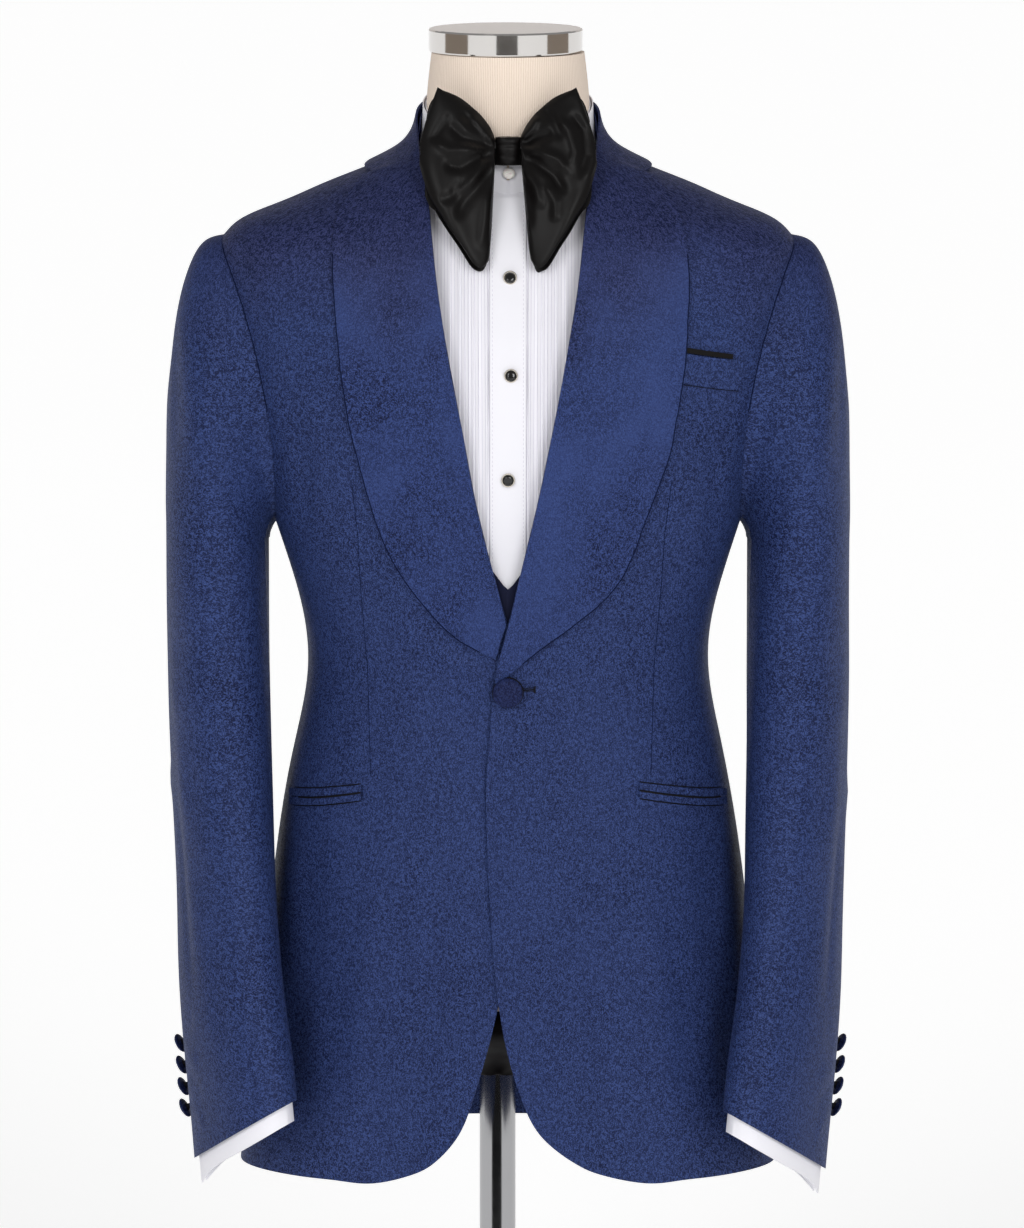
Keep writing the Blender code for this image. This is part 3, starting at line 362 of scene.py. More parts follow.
@dataclass(frozen=True)
class Pearl(Finish):
    """Mother of pearl: clouded layers with a faint green and rose cast."""

    clouds: float = 260.0        # in a metre, so each is about 4 mm wide
    casts: tuple[tuple[float, str], ...] = ((0.3, "d9ded2"), (0.5, "f2efe8"), (0.7, "e6d8d6"))

    def pattern(self, tree: bpy.types.NodeTree, shader: bpy.types.Node) -> None:
        """Draws the clouds.

        Args:
            tree: Node tree of the material.
            shader: Its shader.
        """
        place = add_node(tree, "ShaderNodeTexCoord").outputs["Object"]
        cloud = add_node(tree, "ShaderNodeTexNoise", {"Scale": self.clouds, "Distortion": 1.5},
                         {"Vector": place}).outputs["Fac"]
        shade = add_node(tree, "ShaderNodeValToRGB", {"stops": self.casts}, {0: cloud})
        tree.links.new(shade.outputs[0], shader.inputs["Base Color"])


class Palette:
    """All finishes, each made once when first asked for."""

    SPECS = {
        # silk catches the light between dull wool scraps, with hardly a gleam over all; greyer
        # and darker at the shoulders as painted shade and sheen
        "jacquard": BlueJacquard("silk_wool_jacquard_woven", "blue_jacquard", "354679", 0.58,
                                 sheen=0.04, sheen_colour="8fa6e0", specular=0.12),
        # the same cloth pressed flat: smoother, with its scraps fainter low on the lapel
        "jacquard_lapel": BlueJacquard("jacquard_pressed_lapel", "blue_jacquard", "34457a", 0.54,
                                       sheen=0.04, sheen_colour="8fa6e0", specular=0.12,
                                       motif="121a3b", least=0.34),
        # the same cloth on the covered buttons, its colour darkened as painted shade
        "jacquard_shaded_button": BlueJacquard("jacquard_button_shaded_copy", "covered_button", "222d58",
                                        0.55, sheen=0.03, motif="10173a", specular=0.12,
                                        shoulder_shade_colour="222d58"),
        # fine wool twill: deep navy and matt, with a soft bloom at its edges
        "worsted": WovenCloth("worsted_twill_woven", "navy_lining_cloth", "0d1330", 0.65,
                              sheen=0.05, specular=0.2, sheen_colour="5a6aa0", pitch=0.0010),
        # tight plain cotton, pressed: an even cool white without gloss
        "poplin": WovenCloth("cotton_poplin_pressed", "white_cotton", "f1f0f6", 0.62,
                             sheen=0.08, pitch=0.0006, turn=0.0, relief=0.05, uneven=0.012),
        # long floats of silk: warm black, with soft broad lights along its folds
        "satin": WovenCloth("silk_satin_woven", "black_satin", "0b0909", 0.42, sheen=0.04,
                            sheen_roughness=0.3, sheen_colour="8c827c", pitch=0.0007,
                            turn=20.0, relief=0.05, uneven=0.05, specular=0.17),
        # twisted silk thread: near black, with ridges that break its gleam; also the dark cords
        # of painted shade in the pocket jets, the buttonhole's slit and round the front button
        "thread": WovenCloth("twist_thread_and_shade_cords", "covered_button", "0a0910", 0.7,
                             specular=0.2, pitch=0.0005, uneven=0.2, relief=0.2),
        # navy cords sunk in the cloth, matt and dark: painted shade along the darts' and
        # armholes' seams, and painted shadow under the lapels' edges
        "seam": WovenCloth("seam_shadowed_thread", "covered_button", "101733", 0.75,
                           specular=0.05, pitch=0.0005, uneven=0.2, relief=0.1),
        # white cotton thread, a shade greyer than the shirt, so that the placket's sewing can be
        # seen; the same grey lines along the pleats' folds are painted shade
        "white_thread_and_pleat_shade": WovenCloth("white_sewing_thread_and_pleat_shade", "white_cotton", "cec9d8", 0.7,
                                   pitch=0.0005, uneven=0.05, relief=0.1),
        # cut and polished black stone: small sharp lights on black
        "onyx": Finish("onyx_polished", "onyx", "050506", 0.1, coat=0.4),
        # polished white metal wire: a bright warm line round the stone
        "rim": Finish("white_metal_rim_polished", "chrome", "e9e2d6", 0.2, metallic=1.0),
        # polished shell: milky, with a wet top light and clouds under it
        "pearl": Pearl("mother_of_pearl_polished", "mother_of_pearl", "f0ece4", 0.2, coat=0.5),
        # unbleached cotton rib knit: warm, soft and quite matt, with painted shade in its rib
        # gaps
        "jersey": RibbedJersey("cotton_jersey_ribbed", "beige_jersey", "f4e3d3", 0.82,
                               sheen=0.1),
        # moulded ABS with a fine matt grain: black that takes nearly no light
        "moulding": Finish("abs_matt_moulded", "black_moulding", "080608", 0.42,
                           specular=0.03),
        # plated steel, finely brushed round: clear upright stripes of the room
        "chrome": Finish("steel_ring_brushed", "chrome", "d9d6d3", 0.09, metallic=1.0),
        # drawn steel tube, satin finished: the same stripes, softer and greyer
        "tube": Finish("steel_tube_satin", "chrome", "a8a8aa", 0.17, metallic=1.0),
        # brushed steel plate: broad dull reflections
        "steel": Finish("steel_plate_brushed", "brushed_steel", "a9a9ab", 0.32, metallic=1.0),
    }

    def __init__(self) -> None:
        """Starts with no material made."""
        self.made: dict[str, bpy.types.Material] = {}

    def get(self, key: str) -> bpy.types.Material:
        """Gives a finish's material.

        Args:
            key: Name of the finish in SPECS.

        Returns:
            The material, made on the first call.
        """
        if key not in self.made:
            self.made[key] = self.SPECS[key].build()
        return self.made[key]

    def slot(self, key: str) -> str:
        """Record slot that a finish belongs to."""
        return self.SPECS[key].slot


# -------------------------------------------------------------- cloth helpers
@dataclass(frozen=True)
class Crease:
    """A soft trough (negative depth) or ridge along a path on the cloth.

    Places are (turn, height): degrees from the front round the piece's axis,
    positive towards the wearer's left, and millimetres above the floor.
    """

    path: tuple[tuple[float, float], ...]
    width: float
    depth: float


@dataclass(frozen=True)
class Axis:
    """Upright or bent line round which a tube of cloth is wrapped."""

    points: tuple[tuple[float, float, float], ...]   # height, x, y in millimetres
    radius: float                                    # mean radius in millimetres

    def places(self, points: np.ndarray, middle: float) -> tuple[np.ndarray, np.ndarray]:
        """Turns points into places on the cloth.

        Args:
            points: Points in metres, one row each.
            middle: Turn in degrees at which the piece has its middle.

        Returns:
            Turn in degrees and height in millimetres of each, and the unit vectors outwards.
        """
        table = np.array(self.points)
        mm = points * 1000
        x = mm[:, 0] - np.interp(mm[:, 2], table[:, 0], table[:, 1])
        y = mm[:, 1] - np.interp(mm[:, 2], table[:, 0], table[:, 2])
        turn = np.degrees(np.arctan2(x, -y))
        turn = middle + (turn - middle + 180.0) % 360.0 - 180.0
        away = np.hypot(x, y) + 1e-9
        out = np.stack([x / away, y / away, np.zeros(len(x))], 1)
        return np.stack([turn, mm[:, 2]], 1), out


def along(path: np.ndarray, places: np.ndarray) -> tuple[np.ndarray, np.ndarray]:
    """Distance of places from a path, and how far along it they are.

    Args:
        path: Points of the path.
        places: Places, one row each.

    Returns:
        Distances, and shares from 0 at the path's start to 1 at its end.
    """
    steps = np.diff(path, axis=0)
    lengths = np.linalg.norm(steps, axis=1)
    starts = np.concatenate([[0.0], np.cumsum(lengths)])
    best = np.full(len(places), 1e9)
    share = np.zeros(len(places))
    for start, step, length, before in zip(path, steps, lengths, starts):
        t = np.clip(((places - start) @ step) / length ** 2, 0.0, 1.0)
        gap = np.linalg.norm(places - start - t[:, None] * step, axis=1)
        nearer = gap < best
        best = np.where(nearer, gap, best)
        share = np.where(nearer, (before + t * length) / starts[-1], share)
    return best, share


def fade(share: np.ndarray, ends: float = 0.3) -> np.ndarray:
    """Eases a crease in and out over its two ends.

    Args:
        share: Shares along the crease.
        ends: Share that each end takes.

    Returns:
        Factors from 0 to 1.
    """
    t = np.clip(np.minimum(share, 1.0 - share) / ends, 0.0, 1.0)
    return t * t * (3 - 2 * t)


def vertices_of(mesh: bpy.types.Mesh) -> np.ndarray:
    """Reads the points of a mesh.

    Args:
        mesh: Mesh to read.

    Returns:
        Its points in metres, one row each.
    """
    points = np.zeros(len(mesh.vertices) * 3, np.float32)
    mesh.vertices.foreach_get("co", points)
    return points.reshape(-1, 3).astype(float)


def set_vertices(mesh: bpy.types.Mesh, points: np.ndarray) -> None:
    """Writes the points of a mesh.

    Args:
        mesh: Mesh to change.
        points: Points in metres, one row each.
    """
    mesh.vertices.foreach_set("co", points.astype(np.float32).ravel())
    mesh.update()


def only(piece: bpy.types.Object) -> None:
    """Selects one object alone and makes it active.

    Args:
        piece: Object that the next operators act on.
    """
    if bpy.context.object and bpy.context.object.mode != "OBJECT":
        bpy.ops.object.mode_set(mode="OBJECT")
    bpy.ops.object.select_all(action="DESELECT")
    piece.select_set(True)
    bpy.context.view_layer.objects.active = piece


def apply_modifier(piece: bpy.types.Object, modifier: bpy.types.Modifier) -> None:
    """Applies a modifier to its piece.

    Args:
        piece: Piece that has the modifier.
        modifier: Modifier to apply.
    """
    only(piece)
    bpy.ops.object.modifier_apply(modifier=modifier.name)


def take_new(name: str) -> bpy.types.Object:
    """Names the primitive just added and brings its object to the origin.

    Args:
        name: Name of the new piece.

    Returns:
        The piece.
    """
    piece = bpy.context.object
    piece.name = name
    bpy.ops.object.transform_apply(location=True, rotation=True, scale=True)
    return piece


def piece_of(shape: bmesh.types.BMesh, name: str) -> bpy.types.Object:
    """Makes an object of a drawn shape.

    Args:
        shape: The shape, which is given up.
        name: Name of the new piece.

    Returns:
        The new object, at the origin.
    """
    mesh = bpy.data.meshes.new(name)
    shape.to_mesh(mesh)
    shape.free()
    piece = bpy.data.objects.new(name, mesh)
    bpy.context.scene.collection.objects.link(piece)
    return piece


def trees_of(pieces: list[bpy.types.Object]) -> list[BVHTree]:
    """Makes search trees of some pieces' surfaces.

    Args:
        pieces: Pieces to search.

    Returns:
        A tree for each piece.
    """
    depsgraph = bpy.context.evaluated_depsgraph_get()
    return [BVHTree.FromObject(piece, depsgraph) for piece in pieces]


def look_back(tree: BVHTree, x: float, z: float) -> tuple:
    """Sends a ray straight back from far in front of the form.

    Args:
        tree: Search tree of the surface.
        x: Place across, in metres.
        z: Height in metres.

    Returns:
        Place, normal, face and distance of the first hit, all None where there is none.
    """
    return tree.ray_cast(Vector((x, FAR_FRONT, z)), Vector((0, 1, 0)))


def copy_of_node(node: str, name: str) -> bpy.types.Object:
    """Copies a CAD node's mesh, merges it and makes quads of its triangles.

    Args:
        node: Name of the CAD node.
        name: Name of the new piece.

    Returns:
        The new object, at the origin.
    """
    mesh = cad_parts[node].data.copy()
    mesh.name = name
    mesh.materials.clear()
    piece = bpy.data.objects.new(name, mesh)
    bpy.context.scene.collection.objects.link(piece)
    only(piece)
    bpy.ops.object.mode_set(mode="EDIT")
    bpy.ops.mesh.select_all(action="SELECT")
    bpy.ops.mesh.customdata_custom_splitnormals_clear()
    bpy.ops.mesh.remove_doubles(threshold=0.00001)
    bpy.ops.mesh.tris_convert_to_quads(face_threshold=math.radians(60),
                                       shape_threshold=math.radians(180),
                                       topology_influence=1.0)
    bpy.ops.object.mode_set(mode="OBJECT")
    return piece


def crease_rims(piece: bpy.types.Object, angle: float = 42.0) -> None:
    """Keeps the cloth's cut edges sharp while it is subdivided.

    Args:
        piece: Piece to mark.
        angle: Least angle between two faces of a kept edge, in degrees.
    """
    shape = bmesh.new()
    shape.from_mesh(piece.data)
    layer = shape.edges.layers.float.get("crease_edge") or shape.edges.layers.float.new(
        "crease_edge")
    for edge in shape.edges:
        if len(edge.link_faces) == 2 and edge.calc_face_angle(0.0) > math.radians(angle):
            edge[layer] = 1.0
    shape.to_mesh(piece.data)
    shape.free()


def subdivide_through(piece: bpy.types.Object, levels: int, straight: bool = False,
                      rounds: int = 6) -> None:
    """Subdivides a piece so that the smooth surface passes through its own points.

    Args:
        piece: Piece to subdivide.
        levels: Levels of the subdivision.
        straight: Whether its pressed edges stay straight between the points.
        rounds: How often the control points are moved nearer to their goal.
    """
    modifier = piece.modifiers.new("drape", "SUBSURF")
    modifier.levels = modifier.render_levels = 1
    if straight:
        modifier.subdivision_type = "SIMPLE"
    goal = vertices_of(piece.data)
    for _ in range(0 if straight else rounds):
        bpy.context.view_layer.update()
        shown = piece.evaluated_get(bpy.context.evaluated_depsgraph_get()).to_mesh()
        reached = vertices_of(shown)[:len(goal)]
        set_vertices(piece.data, vertices_of(piece.data) + (goal - reached))
    modifier.levels = modifier.render_levels = levels
    apply_modifier(piece, modifier)


def wrap_uv(mesh: bpy.types.Mesh, turn: np.ndarray, height: np.ndarray, radius: float) -> None:
    """Gives the cloth a flat place, in metres round and up the piece.

    Args:
        mesh: Mesh of the piece.
        turn: Turn of each vertex in degrees.
        height: Height of each vertex in millimetres.
        radius: Mean radius in millimetres.
    """
    corner = np.zeros(len(mesh.loops), np.int32)
    mesh.loops.foreach_get("vertex_index", corner)
    first = np.zeros(len(mesh.polygons), np.int32)
    count = np.zeros(len(mesh.polygons), np.int32)
    mesh.polygons.foreach_get("loop_start", first)
    mesh.polygons.foreach_get("loop_total", count)
    reference = np.repeat(turn[corner[first]], count)
    near = turn[corner]
    near = reference + (near - reference + 180.0) % 360.0 - 180.0   # no jump inside a face
    uv = np.stack([np.radians(near) * radius * MM, height[corner] * MM], 1)
    layer = mesh.uv_layers.get("cloth") or mesh.uv_layers.new(name="cloth")
    layer.data.foreach_set("uv", uv.astype(np.float32).ravel())


def front_uv(piece: bpy.types.Object) -> None:
    """Gives a small piece its flat place as seen from the front.

    Args:
        piece: Piece to lay out.
    """
    points = vertices_of(piece.data) * 1000
    wrap_uv(piece.data, points[:, 0], points[:, 2], FLAT_RADIUS)


def drape_noise(points: np.ndarray, size: float, seed: float) -> np.ndarray:
    """Draws the slow unevenness of hanging cloth.

    Args:
        points: Points in metres.
        size: Size of a wave in metres.
        seed: Shift that makes one piece differ from the next.

    Returns:
        Values about -1 to 1, one for each point.
    """
    return np.array([noise.noise(Vector(p) / size + Vector((seed, 0.0, 0.0)))
                     for p in points])


@dataclass
class ClothPiece:
    """One cut piece of cloth, draped on its solid's form."""

    node: str
    finish: str
    flat: tuple[float, float]
    area: float
    axis: Axis
    middle: float = 0.0
    levels: int = 2
    held: str = "hung"
    rests_on: tuple[str, ...] = ("form_torso",)
    creases: tuple[Crease, ...] = ()
    uneven: float = 0.0          # height of the slow waves in millimetres
    wave: float = 0.075          # length of those waves in metres
    rim_angle: float = 42.0      # least angle in degrees of an edge that stays sharp
    padded: float | None = None  # fill of a padded piece, which states no cut
    straight: bool = False       # whether its pressed edges stay straight

    def shape(self, piece: bpy.types.Object) -> None:
        """Lays creases and slow waves on the subdivided piece.

        Args:
            piece: Piece to shape.
        """
        points = vertices_of(piece.data)
        places, out = self.axis.places(points, self.middle)
        to_flat = np.array([math.radians(1.0) * self.axis.radius, 1.0])
        move = np.zeros(len(points))
        for crease in self.creases:
            gap, share = along(np.array(crease.path) * to_flat, places * to_flat)
            move += crease.depth * np.exp(-(gap / crease.width) ** 2) * fade(share)
        if self.uneven:
            move += self.uneven * drape_noise(points, self.wave, 3.0)
        set_vertices(piece.data, points + out * (move * MM)[:, None])

    def make(self, palette: Palette) -> bpy.types.Object:
        """Args:
            palette: Finishes.

        Returns:
            The finished object.
        """
        piece = copy_of_node(self.node, f"{self.node}_cloth")
        crease_rims(piece, self.rim_angle)
        subdivide_through(piece, self.levels, self.straight)
        self.shape(piece)
        places, _ = self.axis.places(vertices_of(piece.data), self.middle)
        wrap_uv(piece.data, places[:, 0], places[:, 1], self.axis.radius)
        finish_piece(piece, palette, self.finish, (self.node,))
        return piece


def cut_off(piece: bpy.types.Object, end: float) -> None:
    """Cuts off what lies towards the middle of a piece and closes the cut.

    Args:
        piece: Piece to shorten.
        end: Place of the cut along x in metres.
    """
    shape = bmesh.new()
    shape.from_mesh(piece.data)
    cut = bmesh.ops.bisect_plane(shape, geom=shape.verts[:] + shape.edges[:] + shape.faces[:],
                                 plane_co=(end, 0, 0), plane_no=(1, 0, 0), clear_outer=True)
    edges = [part for part in cut["geom_cut"] if isinstance(part, bmesh.types.BMEdge)]
    bmesh.ops.holes_fill(shape, edges=edges)
    shape.to_mesh(piece.data)
    shape.free()


def finish_piece(piece: bpy.types.Object, palette: Palette, finish: str,
                 nodes: tuple[str, ...] = (), smooth: float = 40.0) -> None:
    """Shades and dresses a piece, parents it to the root and hides the nodes that it stands for.

    Args:
        piece: Finished mesh object.
        palette: Finishes.
        finish: Name of its finish.
        nodes: CAD nodes that it stands for.
        smooth: Edges over this angle in degrees stay sharp.
    """
    only(piece)
    bpy.ops.object.shade_smooth_by_angle(angle=math.radians(smooth))
    piece.data.materials.clear()
    piece.data.materials.append(palette.get(finish))
    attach(piece, "root")
    if nodes:
        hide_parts(*nodes)
    palette.slot(finish)
    log.info("%s: %d faces, %s", piece.name, len(piece.data.polygons), finish)


# ---------------------------------------------------------------------- seams
@dataclass(frozen=True)
class StitchRow:
    """A sewn line, or a line of painted shade: a fine cord laid on the surface of a piece."""

    name: str
    path: tuple[tuple[float, float], ...]    # x and height in millimetres
    thick: float = 0.45
    stitch: float = 0.0                      # length of a stitch, 0 for an unbroken line
    finish: str = "thread"
    sink: float = 0.1                        # how deep it lies in the cloth
    beside: tuple[float, ...] = (0.0,)       # shifts in x at which the line is laid again
    step: float = 2.5                        # between two bends of an unbroken line
    section: tuple[tuple[float, float], ...] = ((-1, -0.6), (1, -0.6), (0.7, 0.7), (-0.7, 0.7))

    def make(self, ground: list[bpy.types.Object], palette: Palette) -> bpy.types.Object:
        """Lays the line on the outermost of some pieces.

        Args:
            ground: Pieces that the line may lie on.
            palette: Finishes.

        Returns:
            The stitched line.
        """
        trees = trees_of(ground)
        path = np.array(self.path) * MM
        lengths = np.linalg.norm(np.diff(path, axis=0), axis=1)
        total = float(lengths.sum())
        marks = np.concatenate([[0.0], np.cumsum(lengths)])
        count = max(2, round(total / ((self.stitch or self.step) * MM)))
        shape = bmesh.new()
        for shift in self.beside:
            spots = []
            for i in range(count + 1):
                x, z = (float(np.interp(total * i / count, marks, path[:, k])) for k in (0, 1))
                hits = [look_back(tree, x + shift * MM, z) for tree in trees]
                hits = [hit for hit in hits if hit[0] is not None]
                if hits:
                    place, normal = min(hits, key=lambda hit: hit[3])[:2]
                    spots.append((place + normal * (self.thick / 2 - self.sink) * MM, normal))
            for i, ((a, normal), (b, _)) in enumerate(zip(spots, spots[1:])):
                if (self.stitch and i % 2) or (b - a).length > 2.5 * total / count:
                    continue
                side = (b - a).normalized().cross(normal).normalized() * self.thick * MM / 2
                up = normal.normalized() * self.thick * MM / 2
                ends = [[shape.verts.new(centre + side * c + up * s) for c, s in self.section]
                        for centre in (a, b)]
                for k in range(4):
                    shape.faces.new([ends[0][k], ends[0][(k + 1) % 4],
                                     ends[1][(k + 1) % 4], ends[1][k]])
                shape.faces.new(ends[0][::-1])
                shape.faces.new(ends[1])
        bmesh.ops.recalc_face_normals(shape, faces=shape.faces)
        piece = piece_of(shape, self.name)
        front_uv(piece)
        finish_piece(piece, palette, self.finish, smooth=60.0)
        return piece


# --------------------------------------------------------------------- jacket
BODY_AXIS = Axis(((0.0, 0.0, 0.0),), 165.0)


def sleeve_axis(side: Side) -> Axis:
    """Middle line of a hanging sleeve.

    Args:
        side: Wearer's side.

    Returns:
        The axis.
    """
    table = ((324.0, 192.0, -92.0), (388.0, 199.0, -75.0), (435.0, 203.0, -60.0),
             (495.0, 206.5, -41.0), (565.0, 209.3, -23.0), (630.0, 211.0, -10.0),
             (690.0, 211.5, -2.0), (744.0, 211.7, 2.0), (968.0, 205.0, 2.0))
    return Axis(tuple((z, side.sign * x, y) for z, x, y in table), 52.0)


def meeting(inner: bpy.types.Object, outer: bpy.types.Object, low: float, high: float,
            side: Side, levels: int = 40) -> tuple[tuple[float, float], ...]:
    """Finds where one piece gives way to another, seen from the front.

    Args:
        inner: Piece that lies nearer to the middle.
        outer: Piece that lies beside it.
        low: Lowest height looked at, in millimetres.
        high: Highest height looked at.
        side: Wearer's side.
        levels: Number of heights looked at.

    Returns:
        Points of the line as x and height in millimetres, from the top down.
    """
    trees = trees_of([inner, outer])
    line = []
    for z in np.linspace(high, low, levels):
        last = None
        for x in np.arange(10.0, 215.0, 0.6) * side.sign:   # from the button to the sleeve
            hits = [look_back(tree, x * MM, z * MM)[3] for tree in trees]
            if hits[0] is not None and (hits[1] is None or hits[0] < hits[1]):
                last = x
            elif last is not None and hits[1] is not None:
                line.append((float(last), float(z)))
                break
    return tuple(line)


def edge_line(piece: bpy.types.Object, top: bool) -> tuple[tuple[float, float], ...]:
    """Finds the upper or lower edge of a narrow strip.

    Args:
        piece: The strip.
        top: Whether the upper edge is meant.

    Returns:
        Points of the edge as x and height in millimetres, from one end to the other,
        on a fair curve through the edge.
    """
    points = vertices_of(piece.data)[:, [0, 2]] * 1000
    marks = np.linspace(points[:, 0].min() + 0.5, points[:, 0].max() - 0.5, 8)
    reach = 4.0
    line = []
    for mark in marks:
        near = points[np.abs(points[:, 0] - mark) < reach]
        line.append((float(mark), float(near[:, 1].max() if top else near[:, 1].min())))
    curve = np.polyfit([x for x, _ in line], [z for _, z in line], 2)
    return tuple((x, float(np.polyval(curve, x))) for x, _ in line)


@dataclass
class Jacket:
    """Shawl-lapel dinner jacket with one covered button."""

    right_jet_end: float = -0.1060      # inner end of the right pocket, shorter than the left
    shoulder: float = 962.0             # height to which the lapel's and armhole's lines run
    button_shade_cord: float = 0.6            # radius of the dark cord round the front button: partly its rim, partly painted shadow round its edge
    darts: tuple[tuple[str, float, tuple[tuple[float, float], ...]], ...] = (
        ("left", 0.2, ((117.7, 800.7), (112.6, 760.0), (110.2, 719.5), (105.3, 660.4),
                       (103.2, 584.0))),
        ("right", 0.25, ((-112.0, 798.0), (-108.0, 760.0), (-106.0, 719.5), (-101.3, 660.4),
                         (-99.2, 584.0))),
    )                                   # side, how deep it lies, path

    # creases of the body, shared by fronts, backs and lapels so that they run on
    creases: tuple[Crease, ...] = (
        # drag lines that run to the fastened button
        Crease(((-4.0, 658.0), (-14.0, 676.0), (-26.0, 696.0), (-38.0, 712.0)), 6.0, -2.6),
        Crease(((-5.0, 650.0), (-15.0, 664.0), (-28.0, 680.0), (-42.0, 694.0)), 7.5, 2.4),
        Crease(((-5.0, 645.0), (-18.0, 650.0), (-34.0, 644.0)), 6.0, 1.1),
        Crease(((-5.0, 637.0), (-16.0, 634.0), (-30.0, 622.0)), 6.0, -1.2),
        Crease(((5.0, 655.0), (18.0, 664.0), (36.0, 663.0)), 7.0, -1.3),
        Crease(((6.0, 640.0), (20.0, 634.0), (38.0, 622.0)), 7.0, 1.1),
        # the right front dips where the left one laps over it
        Crease(((-5.0, 648.0), (-6.0, 570.0), (-6.5, 490.0), (-7.0, 400.0)), 9.0, -3.0),
        # soft flutes of the skirt
        Crease(((-22.0, 560.0), (-24.0, 470.0), (-28.0, 380.0), (-32.0, 280.0)), 15.0, -2.0),
        Crease(((-42.0, 540.0), (-46.0, 430.0), (-50.0, 280.0)), 16.0, 2.2),
        Crease(((-64.0, 560.0), (-66.0, 430.0), (-70.0, 280.0)), 15.0, -2.2),
        Crease(((24.0, 570.0), (27.0, 480.0), (31.0, 380.0), (33.0, 270.0)), 16.0, -1.9),
        Crease(((44.0, 540.0), (48.0, 430.0), (53.0, 270.0)), 16.0, 2.1),
        Crease(((66.0, 560.0), (68.0, 430.0), (74.0, 270.0)), 15.0, -2.3),
        # chest, from the shoulder point down towards the waist
        Crease(((-50.0, 930.0), (-47.0, 850.0), (-50.0, 770.0)), 12.0, 1.3),
        Crease(((-62.0, 880.0), (-60.0, 810.0), (-66.0, 740.0)), 10.0, -1.8),
        Crease(((51.0, 925.0), (48.0, 860.0), (52.0, 780.0)), 12.0, 1.2),
        Crease(((63.0, 870.0), (61.0, 800.0), (68.0, 730.0)), 10.0, -1.7),
        Crease(((-72.0, 690.0), (-56.0, 668.0), (-40.0, 655.0)), 9.0, -1.2),
        Crease(((72.0, 700.0), (58.0, 675.0), (42.0, 660.0)), 9.0, -1.1),
        # back: blade, waist and skirt
        Crease(((118.0, 930.0), (128.0, 860.0), (140.0, 780.0)), 14.0, 1.8),
        Crease(((242.0, 935.0), (232.0, 860.0), (222.0, 790.0)), 14.0, 1.7),
        Crease(((110.0, 800.0), (124.0, 740.0), (134.0, 680.0)), 10.0, -1.9),
        Crease(((250.0, 790.0), (237.0, 735.0), (228.0, 680.0)), 10.0, -1.8),
        Crease(((172.0, 700.0), (150.0, 672.0), (126.0, 668.0)), 11.0, -1.5),
        Crease(((188.0, 690.0), (208.0, 664.0), (232.0, 662.0)), 11.0, -1.4),
        Crease(((150.0, 600.0), (146.0, 460.0), (142.0, 280.0)), 20.0, -2.4),
        Crease(((128.0, 580.0), (123.0, 440.0), (118.0, 280.0)), 18.0, 2.4),
        Crease(((212.0, 600.0), (216.0, 460.0), (220.0, 280.0)), 20.0, -2.3),
        Crease(((234.0, 580.0), (238.0, 440.0), (243.0, 280.0)), 18.0, 2.5),
        Crease(((100.0, 640.0), (98.0, 480.0), (96.0, 280.0)), 14.0, -1.6),
        Crease(((260.0, 640.0), (262.0, 480.0), (264.0, 280.0)), 14.0, -1.6),
    )

    def body_creases(self, middle: float) -> tuple[Crease, ...]:
        """Creases with their turns counted as the piece counts them.

        Args:
            middle: Turn at the middle of the piece, in degrees.

        Returns:
            The creases.
        """
        moved = []
        for crease in self.creases:
            centre = sum(turn for turn, _ in crease.path) / len(crease.path)
            shift = 360.0 * round((middle - centre) / 360.0)
            moved.append(Crease(tuple((turn + shift, height) for turn, height in crease.path),
                                crease.width, crease.depth))
        return tuple(moved)

    def sleeve_creases(self, side: Side) -> tuple[Crease, ...]:
        """Soft folds of a hanging sleeve; the turns count from its own front.

        Args:
            side: Wearer's side.

        Returns:
            The creases, which differ a little from side to side.
        """
        s = side.sign
        lift = 0.0 if side is Side.LEFT else 9.0
        rows = (
            # under the sleeve head and round the elbow
            (((s * 62, 900), (s * 40, 850), (s * 30, 790)), 13.0, -2.1),
            (((s * 20, 890), (s * 6, 820), (s * 2, 740)), 12.0, 2.0),
            (((s * 100, 880), (s * 112, 800), (s * 110, 720)), 14.0, 1.6),
            (((s * -30, 690), (s * 10, 664), (s * 52, 655)), 12.0, -2.0),
            (((s * -20, 640), (s * 24, 622), (s * 70, 628)), 11.0, 1.7),
            (((s * -36, 600), (s * 4, 570), (s * 44, 556)), 12.0, -2.3),
            (((s * -40, 548), (s * 0, 520), (s * 36, 520)), 12.0, 1.9),
            (((s * 120, 640), (s * 150, 610), (s * 185, 606)), 12.0, -2.2),
            (((s * 110, 570), (s * 140, 548), (s * 178, 552)), 11.0, 1.8),
            (((s * 40, 640), (s * 36, 520), (s * 30, 400)), 15.0, 1.6),
            (((s * 2, 500), (s * 4, 430), (s * 12, 370)), 11.0, -1.8),
            (((s * 72, 560), (s * 66, 470), (s * 60, 400)), 13.0, -1.4),
            # pulls at the buttoned vent
            (((s * 118, 384), (s * 90, 388), (s * 60, 402)), 5.5, -1.3),
            (((s * 118, 368), (s * 92, 364), (s * 66, 366)), 5.0, 1.2),
            (((s * 118, 350), (s * 94, 346), (s * 70, 342)), 5.5, -1.1),
            (((s * 118, 334), (s * 98, 326), (s * 80, 316)), 5.0, 1.0),
        )
        return tuple(Crease(tuple((float(t), float(z) + lift) for t, z in path), width, depth)
                     for path, width, depth in rows)

